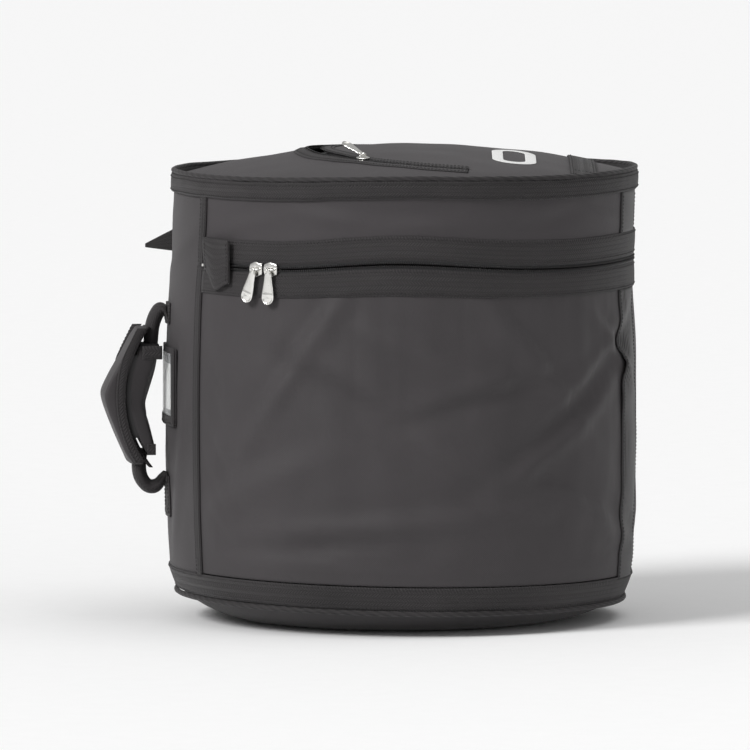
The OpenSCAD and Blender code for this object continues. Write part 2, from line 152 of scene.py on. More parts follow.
def fold(angle, z, at_angle, at_z, turn, length, width, depth):
    """One soft crease: a long ridge (or, with depth under 0, a valley) on the wall."""
    along_x = wrap(angle - at_angle) * BELLY_R
    up = z - at_z
    along = along_x * math.cos(turn) + up * math.sin(turn)
    across = -along_x * math.sin(turn) + up * math.cos(turn)
    return depth * bump(along, length) * (bump(across, width) - 0.5 * bump(across - 1.6 * width, width))


CREASES = [
    (-0.42, 0.265, 0.95, 0.085, 0.010, 3.2),
    (-0.20, 0.225, -0.45, 0.080, 0.011, -2.6),
    (-0.02, 0.180, -0.60, 0.110, 0.013, -3.4),
    (0.16, 0.262, -0.35, 0.080, 0.010, 2.8),
    (0.38, 0.225, 0.28, 0.075, 0.009, -3.0),
    (0.50, 0.280, -0.80, 0.100, 0.011, 3.4),
    (0.72, 0.180, 0.55, 0.090, 0.011, 2.8),
    (0.95, 0.235, 0.60, 0.085, 0.010, -3.2),
    (1.12, 0.265, -0.70, 0.050, 0.008, 2.8),
    (-0.75, 0.130, 0.40, 0.080, 0.014, 2.6),
    (0.20, 0.110, 0.12, 0.120, 0.012, 2.4),
    (0.85, 0.115, -0.35, 0.090, 0.012, 2.8),
    (-0.35, 0.085, 0.10, 0.090, 0.010, -2.2),
]


def crease_field(angle, z):
    """Outward offset of the body's wall in metres, from its creases and slow waves."""
    total = 0.0
    for crease in CREASES:
        total += fold(angle, z, *crease)
    for start in (2.0, 2.9, 3.8):
        total += fold(angle, z, start, 0.20, 0.8 * math.cos(3 * start), 0.10, 0.018, 2.4)
    spot = Vector((3.2 * math.sin(angle), 3.2 * math.cos(angle), 9 * z))
    total += 1.3 * noise.noise(spot) + 0.5 * noise.noise(2.7 * spot)
    return total * MM


def edge_fade(z, bottom, top, width):
    """0 at a sewn edge, 1 away from it."""
    return smooth_step((z - bottom) / width) * smooth_step((top - z) / width)


class Field:
    """Offsets on a regular grid of angle and height, read back as a smooth function."""

    def __init__(self, a0, a1, z0, z1, values):
        self.a0, self.a1, self.z0, self.z1 = a0, a1, z0, z1
        self.values = values
        self.na, self.nz = len(values) - 1, len(values[0]) - 1

    def at(self, angle, z):
        middle = (self.a0 + self.a1) / 2
        angle = middle + wrap(angle - middle)
        x = (angle - self.a0) / (self.a1 - self.a0) * self.na
        y = (z - self.z0) / (self.z1 - self.z0) * self.nz
        if not (0 <= x <= self.na and 0 <= y <= self.nz):
            return 0.0
        i, j = min(int(x), self.na - 1), min(int(y), self.nz - 1)
        u, v = smooth_step(x - i), smooth_step(y - j)
        grid = self.values
        near = grid[i][j] * (1 - v) + grid[i][j + 1] * v
        far = grid[i + 1][j] * (1 - v) + grid[i + 1][j + 1] * v
        return near * (1 - u) + far * u


# ---- Mesh building ----

def make_piece(name, verts, faces, material, uvs=None, smooth=True):
    """A new object from lists. uvs holds one (u, v) in metres for each corner, face by face."""
    mesh = bpy.data.meshes.new(name)
    mesh.from_pydata([tuple(v) for v in verts], [], faces)
    mesh.update()
    if uvs is not None:
        layer = mesh.uv_layers.new(name="cloth")
        layer.data.foreach_set("uv", [c for uv in uvs for c in uv])
    shape = bmesh.new()
    shape.from_mesh(mesh)
    bmesh.ops.recalc_face_normals(shape, faces=shape.faces)
    shape.to_mesh(mesh)
    shape.free()
    if smooth:
        mesh.polygons.foreach_set("use_smooth", [True] * len(mesh.polygons))
    piece = bpy.data.objects.new(name, mesh)
    bpy.context.scene.collection.objects.link(piece)
    piece.data.materials.append(material)
    return piece


def loft(name, rings, material, closed_path=False, uv_along=None, uv_across=None):
    """A closed skin through rings of points, capped at its ends unless the path closes."""
    count, around = len(rings), len(rings[0])
    verts = [point for ring in rings for point in ring]
    faces, uvs = [], []
    along = uv_along or [i * MM for i in range(count + 1)]
    across = uv_across or [i * MM for i in range(around + 1)]
    for i in range(count if closed_path else count - 1):
        here, there = i * around, ((i + 1) % count) * around
        for j in range(around):
            k = (j + 1) % around
            faces.append((here + j, here + k, there + k, there + j))
            u0, u1, v0, v1 = along[i], along[i + 1], across[j], across[j + 1]
            uvs += [(u0, v0), (u0, v1), (u1, v1), (u1, v0)]
    if not closed_path:
        for first, flip in ((0, True), ((count - 1) * around, False)):
            loop = [first + j for j in range(around)]
            loop = loop[::-1] if flip else loop
            faces.append(tuple(loop))
            uvs += [(along[0], across[j]) for j in range(around)]
    return make_piece(name, verts, faces, material, uvs)


def strip_section(width, thick, crown=0.0, steps=10):
    """Cross-section of flat webbing with soft edges: (across, height) points, counter-clockwise."""
    edge = min(thick * 0.5, width * 0.2)
    half = width / 2
    top = []
    for i in range(steps + 1):
        x = -half + edge + (width - 2 * edge) * i / steps
        top.append((x, thick + crown * (1 - (x / half) ** 2)))
    right = [(half - edge * 0.3, thick * 0.85), (half, thick * 0.5), (half - edge * 0.3, thick * 0.15)]
    left = [(-x, y) for x, y in reversed(right)]
    return top + right + [(half - edge, 0.0), (edge - half, 0.0)] + left


def strip(name, place, stations, width, thick, material, closed_path=False, crown=0.0, steps=10):
    """Webbing along a path. place(station, across, height) gives a point; uv runs along, then across."""
    section = strip_section(width, thick, crown, steps)
    rings = [[place(s, x, h) for x, h in section] for s in stations]
    across = [x for x, _ in section] + [section[0][0]]
    along = [0.0]
    count = len(stations)
    for i in range(1, count + 1):
        step = rings[i % count][0] - rings[i - 1][0]
        along.append(along[-1] + step.length)
    rings = [list(reversed(ring)) for ring in rings]
    return loft(name, rings, material, closed_path, along, list(reversed(across)))


def stations(start, stop, step):
    """Evenly spaced values from start to stop, about step apart."""
    count = max(2, round(abs(stop - start) / step))
    return [start + (stop - start) * i / count for i in range(count + 1)]


def sheet_between(name, place, along, up, thick, material):
    """A cloth panel with two faces and closed edges. place(s, z, height) gives a point."""
    ns, nz = len(along), len(up)
    verts, faces, uvs = [], [], []
    for height in (0.0, -thick):
        for s in along:
            for z in up:
                verts.append(place(s, z, height))
    us, vs = [0.0], [0.0]
    for i in range(1, ns):
        us.append(us[-1] + (verts[i * nz] - verts[(i - 1) * nz]).length)
    for j in range(1, nz):
        vs.append(vs[-1] + (verts[j] - verts[j - 1]).length)
    back = ns * nz

    def add(corners):
        faces.append(tuple(i * nz + j + (back if inner else 0) for i, j, inner in corners))
        uvs.extend((us[i], vs[j]) for i, j, _ in corners)

    for i in range(ns - 1):
        for j in range(nz - 1):
            square = [(i, j), (i + 1, j), (i + 1, j + 1), (i, j + 1)]
            add([(a, b, False) for a, b in square])
            add([(a, b, True) for a, b in reversed(square)])
    for i in range(ns - 1):
        add([(i + 1, 0, False), (i, 0, False), (i, 0, True), (i + 1, 0, True)])
        add([(i, nz - 1, False), (i + 1, nz - 1, False), (i + 1, nz - 1, True), (i, nz - 1, True)])
    for j in range(nz - 1):
        add([(0, j, False), (0, j + 1, False), (0, j + 1, True), (0, j, True)])
        add([(ns - 1, j + 1, False), (ns - 1, j, False), (ns - 1, j, True), (ns - 1, j + 1, True)])
    return make_piece(name, verts, faces, material, uvs)


def tube(name, path, radius, material, sides=10, closed_path=False):
    """A round cord or wire along a path of points."""
    rings = []
    count = len(path)
    for i, point in enumerate(path):
        before = path[(i - 1) % count] if closed_path or i else path[0]
        after = path[(i + 1) % count] if closed_path or i < count - 1 else path[-1]
        direction = (after - before).normalized()
        side = direction.cross(Vector((0.31, 0.17, 0.93))).normalized()
        up = side.cross(direction)
        rings.append([
            point + radius * (math.cos(t) * side + math.sin(t) * up)
            for t in [2 * math.pi * k / sides for k in range(sides)]
        ])
    return loft(name, rings, material, closed_path)


def add_bead(verts, faces, rings, twist=0.0):
    """Adds a closed six-sided bead to a mesh. Each ring is its centre and its two half axes."""
    first, sides = len(verts), 6
    for centre, across, up in rings:
        for k in range(sides):
            turn = 2 * math.pi * (k + twist) / sides
            verts.append(centre + across * math.cos(turn) + up * math.sin(turn))
    for ring in range(len(rings) - 1):
        for k in range(sides):
            a, b = first + ring * sides + k, first + ring * sides + (k + 1) % sides
            faces.append((a, b, b + sides, a + sides))
    faces.append(tuple(first + k for k in reversed(range(sides))))
    faces.append(tuple(len(verts) - sides + k for k in range(sides)))


def stitch_row(name, points, material, pitch=3.6 * MM, length=2.5 * MM, radius=0.36 * MM):
    """A line of sewn stitches, each a short thread half sunk in the cloth. points are (place, normal)."""
    distance, marks = 0.0, [0.0]
    for i in range(1, len(points)):
        distance += (points[i][0] - points[i - 1][0]).length
        marks.append(distance)
    verts, faces = [], []
    count = int(distance / pitch)
    index = 0
    for n in range(count):
        middle = (n + 0.5) * pitch
        ends = []
        for mark in (middle - length / 2, middle + length / 2):
            while index < len(marks) - 2 and marks[index + 1] < mark:
                index += 1
            while index > 0 and marks[index] > mark:
                index -= 1
            t = (mark - marks[index]) / max(1e-9, marks[index + 1] - marks[index])
            ends.append(points[index][0].lerp(points[index + 1][0], min(1.0, max(0.0, t))))
        normal = points[index][1]
        run = ends[1] - ends[0]
        if run.length < 1e-6:
            continue
        side = run.normalized().cross(normal).normalized()
        rings = []
        for t, size, lift in ((0.0, 0.45, -0.5), (0.2, 1.0, 0.45), (0.8, 1.0, 0.45), (1.0, 0.45, -0.5)):
            centre = ends[0] + run * t + normal * radius * lift
            rings.append((centre, radius * size * side, radius * size * normal))
        add_bead(verts, faces, rings)
    return make_piece(name, verts, faces, material)


# ---- Materials ----

class Shader:
    """Short names for building one node material."""

    def __init__(self, name):
        self.material = bpy.data.materials.new(name)
        self.material.use_nodes = True
        self.nodes = self.material.node_tree.nodes
        self.links = self.material.node_tree.links
        self.bsdf = self.nodes["Principled BSDF"]

    def add(self, kind, **settings):
        node = self.nodes.new(kind)
        for key, value in settings.items():
            setattr(node, key, value)
        return node

    def join(self, source, target):
        self.links.new(source, target)

    def math(self, operation, a, b=None, c=None):
        node = self.add("ShaderNodeMath", operation=operation)
        for socket, value in zip(node.inputs, (a, b, c)):
            if value is None:
                continue
            if isinstance(value, (int, float)):
                socket.default_value = value
            else:
                self.join(value, socket)
        return node.outputs[0]

    def noise(self, vector, scale, detail=3.0, roughness=0.55):
        node = self.add("ShaderNodeTexNoise")
        node.inputs["Scale"].default_value = scale
        node.inputs["Detail"].default_value = detail
        node.inputs["Roughness"].default_value = roughness
        self.join(vector, node.inputs["Vector"])
        return node.outputs["Fac"]

    def ramp(self, value, stops):
        node = self.add("ShaderNodeValToRGB")
        elements = node.color_ramp.elements
        while len(elements) < len(stops):
            elements.new(0.5)
        for element, (position, color) in zip(elements, stops):
            element.position = position
            element.color = (*color, 1.0)
        self.join(value, node.inputs["Fac"])
        return node.outputs["Color"]

    def bump(self, height, strength, distance, below=None):
        node = self.add("ShaderNodeBump")
        node.inputs["Strength"].default_value = strength
        node.inputs["Distance"].default_value = distance
        self.join(height, node.inputs["Height"])
        if below is not None:
            self.join(below, node.inputs["Normal"])
        return node.outputs["Normal"]

    def uv(self):
        """(u, v) of the cloth in metres."""
        source = self.add("ShaderNodeUVMap", uv_map="cloth")
        split = self.add("ShaderNodeSeparateXYZ")
        self.join(source.outputs["UV"], split.inputs[0])
        return source.outputs["UV"], split.outputs[0], split.outputs[1]

    def place(self):
        return self.add("ShaderNodeTexCoord").outputs["Object"]

    def wave(self, value, pitch, height):
        """A sine wave along value that rises from 0 to twice its height."""
        phase = self.math("MULTIPLY", value, 2 * math.pi / pitch)
        return self.math("MULTIPLY_ADD", self.math("SINE", phase), height, height)

    def constant(self, socket, value):
        self.bsdf.inputs[socket].default_value = value


def shade(color, factor):
    return tuple(min(1.0, c * factor) for c in color)


def cloth_finish(shader, color, height, weave_depth, variation, roughness, sheen):
    """Colour, sheen and bump that every cloth here shares; height is the weave's own relief, 0 to 1."""
    place = shader.place()
    slow = shader.noise(place, 9.0, 4.0)
    fuzz = shader.noise(place, 900.0, 2.0)
    mixed = shader.math("MULTIPLY_ADD", slow, 0.55, shader.math("MULTIPLY", height, 0.28))
    mixed = shader.math("ADD", mixed, shader.math("MULTIPLY", fuzz, 0.17))
    dark, light = shade(color, 1 - variation), shade(color, 1 + variation)
    tint = shader.ramp(mixed, [(0.25, dark), (0.75, light)])
    shader.join(tint, shader.bsdf.inputs["Base Color"])
    rough = shader.math("MULTIPLY_ADD", slow, 0.12, roughness - 0.06)
    shader.join(rough, shader.bsdf.inputs["Roughness"])
    shader.constant("Sheen Weight", sheen)
    shader.constant("Sheen Roughness", 0.45)
    shader.constant("Specular IOR Level", 0.35)
    soft = shader.bump(shader.noise(place, 55.0, 3.0), 0.22, 1.2 * MM)
    fine = shader.bump(height, 0.6, weave_depth, soft)
    shader.join(fine, shader.bsdf.inputs["Normal"])
    return shader.material


def plain_weave(shader, pitch):
    """Relief of a plain over-and-under weave, threads pitch apart."""
    _, u, v = shader.uv()
    across = shader.math("SINE", shader.math("MULTIPLY", u, math.pi / pitch))
    along = shader.math("SINE", shader.math("MULTIPLY", v, math.pi / pitch))
    woven = shader.math("MULTIPLY", across, along)
    return shader.math("MULTIPLY_ADD", woven, 0.5, 0.5)


def herringbone(shader, rib, pitch):
    """Relief of herringbone tape: slanted ribs that change direction every rib's width."""
    _, u, v = shader.uv()
    zigzag = shader.math("PINGPONG", shader.math("ADD", v, 1.0), rib)
    phase = shader.math("MULTIPLY", shader.math("ADD", u, zigzag), 2 * math.pi / pitch)
    ribs = shader.math("MULTIPLY_ADD", shader.math("SINE", phase), 0.5, 0.5)
    spine = shader.math("PINGPONG", shader.math("ADD", v, 1.0), rib / 2)
    groove = shader.math("SMOOTH_MIN", shader.math("DIVIDE", spine, rib * 0.22), 1.0, 0.3)
    return shader.math("MULTIPLY", ribs, groove)


def make_nylon(name, color, roughness=0.66, sheen=0.10):
    shader = Shader(name)
    return cloth_finish(shader, color, plain_weave(shader, 0.9 * MM), 0.18 * MM, 0.24, roughness, sheen)


def make_tape(name, color, rib=4.2 * MM, pitch=2.9 * MM, depth=0.7 * MM):
    shader = Shader(name)
    return cloth_finish(shader, color, herringbone(shader, rib, pitch), depth, 0.55, 0.72, 0.10)


def make_ribbed(name, color):
    """Seat-belt webbing: straight ribs along its length, with fine cross threads."""
    shader = Shader(name)
    _, u, v = shader.uv()
    ribs = shader.wave(v, 3.2 * MM, 0.5)
    threads = shader.wave(u, 1.1 * MM, 0.15)
    height = shader.math("ADD", shader.math("MULTIPLY", ribs, 0.7), threads)
    return cloth_finish(shader, color, height, 0.7 * MM, 0.5, 0.45, 0.08)


def make_foam(name, color):
    shader = Shader(name)
    place = shader.place()
    cells = shader.add("ShaderNodeTexVoronoi")
    cells.inputs["Scale"].default_value = 900.0
    shader.join(place, cells.inputs["Vector"])
    tint = shader.ramp(shader.noise(place, 14.0), [(0.3, shade(color, 0.9)), (0.7, color)])
    shader.join(tint, shader.bsdf.inputs["Base Color"])
    shader.constant("Roughness", 0.95)
    shader.join(shader.bump(cells.outputs["Distance"], 0.5, 0.3 * MM), shader.bsdf.inputs["Normal"])
    return shader.material


def make_metal(name, color, roughness=0.2):
    """Nickel plate: bright, with brushed hairlines and duller worn spots."""
    shader = Shader(name)
    place = shader.place()
    stretch = shader.add("ShaderNodeMapping")
    stretch.inputs["Scale"].default_value = (400.0, 400.0, 60.0)
    shader.join(place, stretch.inputs["Vector"])
    hair = shader.noise(stretch.outputs["Vector"], 8.0, 2.0)
    worn = shader.noise(place, 120.0, 3.0)
    tint = shader.ramp(worn, [(0.3, shade(color, 0.86)), (0.6, color)])
    shader.join(tint, shader.bsdf.inputs["Base Color"])
    shader.constant("Metallic", 1.0)
    rough = shader.math("MULTIPLY_ADD", worn, 0.18, roughness - 0.05)
    shader.join(rough, shader.bsdf.inputs["Roughness"])
    shader.join(shader.bump(hair, 0.12, 0.05 * MM), shader.bsdf.inputs["Normal"])
    return shader.material


def make_plastic(name, color, roughness=0.4, scale=260.0):
    shader = Shader(name)
    place = shader.place()
    grain = shader.noise(place, scale, 2.0)
    tint = shader.ramp(grain, [(0.3, shade(color, 0.85)), (0.7, shade(color, 1.1))])
    shader.join(tint, shader.bsdf.inputs["Base Color"])
    shader.join(shader.math("MULTIPLY_ADD", grain, 0.15, roughness - 0.07), shader.bsdf.inputs["Roughness"])
    shader.join(shader.bump(grain, 0.15, 0.1 * MM), shader.bsdf.inputs["Normal"])
    return shader.material


def make_clear_film(name):
    shader = Shader(name)
    grain = shader.noise(shader.place(), 30.0, 2.0)
    shader.constant("Base Color", (0.85, 0.87, 0.88, 1.0))
    shader.constant("Alpha", 0.22)
    shader.join(shader.math("MULTIPLY_ADD", grain, 0.1, 0.05), shader.bsdf.inputs["Roughness"])
    shader.join(shader.bump(grain, 0.3, 0.6 * MM), shader.bsdf.inputs["Normal"])
    return shader.material


NYLON = make_nylon("charcoal_nylon", (0.038, 0.034, 0.036))
# A slightly lighter copy of the wall nylon for the lid: painted light, its tone set for how light falls on
# the lid.
LID_PAINTED_LIGHT_NYLON = make_nylon("lid_nylon", (0.040, 0.0355, 0.038))
# Darker nylon: the base's own cloth, and painted shade where it dresses the grip's inner flap.
BASE_AND_PAINTED_SHADE_NYLON = make_nylon("base_nylon", (0.027, 0.024, 0.0255), 0.7)
LINING = make_nylon("smooth_lining", (0.010, 0.010, 0.011), 0.5, 0.08)
TAPE = make_tape("herringbone_tape", (0.024, 0.0215, 0.0225))
BINDING = make_tape("seam_binding", (0.022, 0.0195, 0.0205), 2.8 * MM, 2.4 * MM)
WEBBING = make_tape("handle_webbing", (0.022, 0.0195, 0.0205), 4.8 * MM, 3.2 * MM, 0.7 * MM)
RIBBED = make_ribbed("ribbed_webbing", (0.020, 0.018, 0.019))
THREAD = make_plastic("sewing_thread", (0.016, 0.014, 0.015), 0.7, 900.0)
TEETH = make_plastic("zip_teeth", (0.010, 0.009, 0.0095), 0.32)
NICKEL = make_metal("nickel_plate", (0.86, 0.85, 0.82))
CARD = make_plastic("blank_card", (0.86, 0.86, 0.84), 0.7, 500.0)
INK = make_plastic("white_print", (0.84, 0.84, 0.83), 0.55, 700.0)
FILM = make_clear_film("clear_window")
HOOKS = make_foam("hook_and_loop", (0.035, 0.034, 0.035))


def finish_piece(piece, body, slot, *nodes):
    """Puts a finished piece on its body, and hides the CAD nodes that it stands for; slot is not used."""
    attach(piece, body)
    if nodes:
        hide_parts(*nodes)
    return piece


# ---- Cloth simulation of the wall ----

def simulate_wall():
    """Inflates the wall's outer cloth between its seams and returns how far it moves outward."""
    along = stations(HINGE_FRONT, HINGE_REAR, 7 * MM / BELLY_R)
    up = stations(WALL_BOTTOM, WALL_TOP, 7 * MM)
    verts = [polar(wall_radius(z), a, z) for a in along for z in up]
    nz = len(up)
    faces = [
        (i * nz + j, (i + 1) * nz + j, (i + 1) * nz + j + 1, i * nz + j + 1)
        for i in range(len(along) - 1) for j in range(nz - 1)
    ]
    sheet = make_piece("wall_trial", verts, faces, NYLON)
    pins = sheet.vertex_groups.new(name="pins")
    generator = random.Random(11)
    for i, a in enumerate(along):
        for j, z in enumerate(up):
            edge = i in (0, len(along) - 1) or j in (0, nz - 1)
            pins.add([i * nz + j], 1.0 if edge else 0.012, "REPLACE")
            start = 0.8 * crease_field(a, z) * edge_fade(z, WALL_BOTTOM, WALL_TOP, 30 * MM)
            start += 0.4 * MM * generator.uniform(-1, 1)
            if not edge:
                vertex = sheet.data.vertices[i * nz + j]
                vertex.co = polar(wall_radius(z) + start, a, z)
    cloth = sheet.modifiers.new("cloth", "CLOTH")
    settings = cloth.settings
    settings.quality = 6
    settings.mass = 0.25
    settings.tension_stiffness = 12
    settings.compression_stiffness = 12
    settings.shear_stiffness = 4
    settings.bending_stiffness = 0.35
    settings.tension_damping = 12
    settings.vertex_group_mass = "pins"
    settings.pin_stiffness = 1.0
    settings.shrink_min = -0.035
    settings.use_pressure = True
    settings.uniform_pressure_force = 1.2
    settings.effector_weights.gravity = 0.5
    cloth.collision_settings.use_collision = False
    scene = bpy.context.scene
    cloth.point_cache.frame_start, cloth.point_cache.frame_end = 1, 24
    for frame_number in range(1, 25):
        scene.frame_set(frame_number)
    solved = sheet.evaluated_get(bpy.context.evaluated_depsgraph_get())
    values = []
    for i, a in enumerate(along):
        column = []
        for j, z in enumerate(up):
            point = solved.data.vertices[i * nz + j].co
            column.append(math.hypot(point.x, point.y) - wall_radius(point.z))
        values.append(column)
    scene.frame_set(1)
    bpy.data.objects.remove(sheet)
    creased = [[crease_field(a, z) for z in up] for a in along]
    swelled = soften(values, 1.6 * MM)
    folded = soften(creased, 3.6 * MM)
    both = [[p + q for p, q in zip(*columns)] for columns in zip(swelled, folded)]
    return Field(HINGE_FRONT, HINGE_REAR, WALL_BOTTOM, WALL_TOP, both)


def soften(values, typical):
    """Takes out the mean swell and brings the folds to a typical depth, so that the wall keeps its size."""
    flat = sorted(v for column in values for v in column)
    middle = flat[len(flat) // 2]
    spread = max(flat[int(0.97 * len(flat))] - middle, middle - flat[int(0.03 * len(flat))], 0.1 * MM)
    scale = min(2.5, typical / spread)
    rows = len(values[0])
    out = []
    for i, column in enumerate(values):
        side = smooth_step(min(i, len(values) - 1 - i) / 5)
        out.append([
            side * smooth_step(min(j, rows - 1 - j) / 5)
            * 5.5 * MM * math.tanh((v - middle) * scale / (5.5 * MM))
            for j, v in enumerate(column)
        ])
    return out


WALL_FIELD = simulate_wall()

LID_CREASES = [
    (0.14, 0.386, 0.05, 0.036, 0.008, 3.4),
    (-0.30, 0.392, -0.20, 0.040, 0.008, 1.8),
    (0.62, 0.388, 0.20, 0.045, 0.008, -1.6),
    (1.00, 0.392, -0.30, 0.030, 0.007, 1.6),
    (-0.75, 0.388, 0.15, 0.035, 0.008, 1.5),
    (2.20, 0.390, 0.10, 0.060, 0.009, 2.0),
    (3.10, 0.388, -0.15, 0.050, 0.008, -1.8),
    (3.90, 0.392, 0.20, 0.060, 0.009, 1.8),
]


def lid_field(angle, z):
    """Outward offset of the lid band between its zip tape and its rim."""
    total = sum(fold(angle, z, *crease) for crease in LID_CREASES)
    total += 0.8 * noise.noise(Vector((5 * math.sin(angle), 5 * math.cos(angle), 30 * z)))
    return total * MM * edge_fade(z, ZIP_Z + TAPE_W * 0.9, TOP_RIM_LOW + 4 * MM, 10 * MM)


def hinge_field(angle, z):
    """Outward offset of the hinge panel, which folds a little at the lid's seam and under the handle."""
    away = edge_fade(angle, HINGE_REAR - 2 * math.pi, HINGE_FRONT, 0.13)
    away *= edge_fade(z, RIM_HIGH, TOP_RIM_LOW, 25 * MM)
    total = fold(angle, z, SPINE + 0.16, ZIP_Z + 6 * MM, 0.35, 0.05, 0.010, 2.0)
    total += fold(angle, z, SPINE + 0.24, 0.14, 1.25, 0.09, 0.012, 2.0)
    total += fold(angle, z, SPINE - 0.20, 0.16, 1.75, 0.08, 0.012, 1.8)
    total += 1.2 * noise.noise(Vector((4 * math.sin(angle), 4 * math.cos(angle), 14 * z + 3)))
    return total * MM * away


def skin_radius(angle, z):
    """Radius of the outer cloth at rest, before the bag leans."""
    radius = wall_radius(min(z, ZIP_Z))
    if HINGE_REAR - 2 * math.pi < wrap(angle) < HINGE_FRONT:
        return radius + hinge_field(wrap(angle), z)
    if z < WALL_TOP:
        return radius + WALL_FIELD.at(angle, z)
    return radius + lid_field(angle, z)


def skin(angle, z, height=0.0):
    """Point at a height above the bag's outer cloth."""
    return slump(polar(skin_radius(angle, z) + height, angle, z))


def skin_normal(angle, z):
    side = skin(angle + 0.01, z) - skin(angle - 0.01, z)
    up = skin(angle, z + 2 * MM) - skin(angle, z - 2 * MM)
    return side.cross(up).normalized()


# ---- Body panels ----

ALL_ROUND = stations(0.0, 2 * math.pi, 4.5 * MM / BELLY_R)[:-1]


def wall_panel():
    panel = sheet_between(
        "wall_outer", skin, stations(HINGE_FRONT, HINGE_REAR, 4.2 * MM / BELLY_R),
        stations(WALL_BOTTOM, WALL_TOP, 4.2 * MM), FABRIC, NYLON,
    )
    add_subdivision(panel)
    finish_piece(panel, "bag", "nylon", "body_shell")


def add_subdivision(piece, levels=1):
    modifier = piece.modifiers.new("smooth", "SUBSURF")
    modifier.levels = modifier.render_levels = levels
    modifier.uv_smooth = "PRESERVE_CORNERS"


def revolve(name, profile, material, angles=ALL_ROUND, wave=None):
    """A closed skin turned from a loop of (radius, z) points; wave(angle, radius, z) moves one outward."""
    def at(radius, angle, z):
        moved = radius + (wave(angle, radius, z) if wave else 0.0)
        return slump(polar(moved, angle, z))
    rings = [[at(r, a, z) for r, z in profile] for a in angles]
    reach = max(r for r, _ in profile)
    across = [0.0]
    for i in range(1, len(profile) + 1):
        r0, z0 = profile[i - 1]
        r1, z1 = profile[i % len(profile)]
        across.append(across[-1] + math.hypot(r1 - r0, z1 - z0))
    along = [reach * a for a in angles] + [reach * 2 * math.pi]
    return loft(name, rings, material, True, along, across)


def wall_padding():
    """Foam between the outer cloth and the lining, bound over at its open top edge."""
    outer = FABRIC + 0.2 * MM
    inner = LAYERS
    steps = stations(RIM_HIGH + 2 * MM, WALL_TOP - 4 * MM, 9 * MM)
    profile = [(wall_radius(z) - outer, z) for z in steps]
    top = profile[-1]
    profile += [(top[0] - 1.2 * MM, top[1] + 2.6 * MM), (top[0] - 4.7 * MM, top[1] + 3.8 * MM),
                (top[0] - 8.2 * MM, top[1] + 2.6 * MM)]
    profile += [(wall_radius(z) - inner, z) for z in reversed(steps)]

    def soft(angle, radius, z):
        fade = edge_fade(z, RIM_HIGH, WALL_TOP, 30 * MM)
        quilt = 0.9 * MM * noise.noise(Vector((6 * math.sin(angle), 6 * math.cos(angle), 16 * z)))
        follow = min(0.0, skin_radius(angle, z) - wall_radius(z)) if z < WALL_TOP else 0.0
        return fade * quilt * 0.7 + follow

    piece = revolve("wall_padding", profile, LINING, wave=soft)
    add_subdivision(piece)
    finish_piece(piece, "bag", "lining", "body_foam", "body_lining")


def base_profile(foot_r, edge_r, floor_z, edge_z):
    """(radius, z) points of a shallow dish, from the axis to its edge."""
    points = [(foot_r * t, floor_z) for t in (0.004, 0.25, 0.5, 0.75, 1.0)]
    for t in stations(0.1, 1.0, 0.1):
        points.append((foot_r + (edge_r - foot_r) * t, floor_z + (edge_z - floor_z) * t ** 2.2))
    return points


def base_panels():
    """The round foot: outer cloth, and the padded floor inside."""
    edge_r = BASE_R
    foot = 0.66 * edge_r
    outer = base_profile(foot, edge_r, 0.0, RIM_LOW)
    inner = base_profile(foot, edge_r - 2 * MM, FABRIC, RIM_LOW)

    def creased(angle, radius, z):
        share = smooth_step((radius - 0.9 * foot) / (edge_r - 0.9 * foot))
        wave = noise.noise(Vector((4 * math.sin(angle), 4 * math.cos(angle), 40 * z)))
        return 6.0 * share * (1 - share) * MM * wave

    shell = revolve("base_outer", outer + inner[::-1], BASE_AND_PAINTED_SHADE_NYLON, wave=creased)
    add_subdivision(shell)
    finish_piece(shell, "bag", "nylon", "base_panel")

    top = low("base_foam").z + 8 * MM
    padding_r = high("base_foam").x - 0.5 * MM
    under = base_profile(foot, padding_r, FABRIC + 0.6 * MM, RIM_LOW + 6 * MM)
    over = base_profile(foot, padding_r - 1 * MM, top + 2 * MM, RIM_LOW + 16 * MM)

    def quilted(angle, radius, z):
        return 1.2 * MM * noise.noise(Vector((5 * math.sin(angle), 5 * math.cos(angle), 8 * radius)))

    floor = revolve("base_padding", under + over[::-1], LINING, wave=quilted)
    add_subdivision(floor)
    finish_piece(floor, "bag", "lining", "base_foam", "base_lining")


# ---- Bands sewn round the bag ----

def level_band(name, middle_z, width, thick, angles, material, closed=False, lift=0.0, crown=0.0, wavy=0.0):
    """Webbing sewn level round the bag. wavy is how far its edges wander, in metres."""
    def place(angle, across, height):
        height_seed = 40 * middle_z + 900 * across
        drift = wavy * noise.noise(Vector((9 * math.sin(angle), 9 * math.cos(angle), height_seed)))
        return skin(angle, middle_z + across + drift, height + lift)
    return strip(name, place, angles, width, thick, material, closed, crown)


def upright_band(name, angle, width, thick, heights, material, lift=0.0, crown=0.0):
    """Webbing sewn up and down the bag."""
    def place(z, across, height):
        return skin(angle + across / BELLY_R, z, height + lift)
    return strip(name, place, heights, width, thick, material, False, crown)


def rim_point(angle, z, height=0.0):
    """Point on the slanted tape that joins the wall to the base."""
    share = (z - RIM_LOW) / (RIM_HIGH - RIM_LOW)
    radius = (BASE_R + 0.6 * MM) * (1 - share) + wall_radius(RIM_HIGH) * share
    flutter = 0.5 * MM * math.sin(11 * angle) * (1 - share)
    return slump(polar(radius + height + flutter, angle, z))


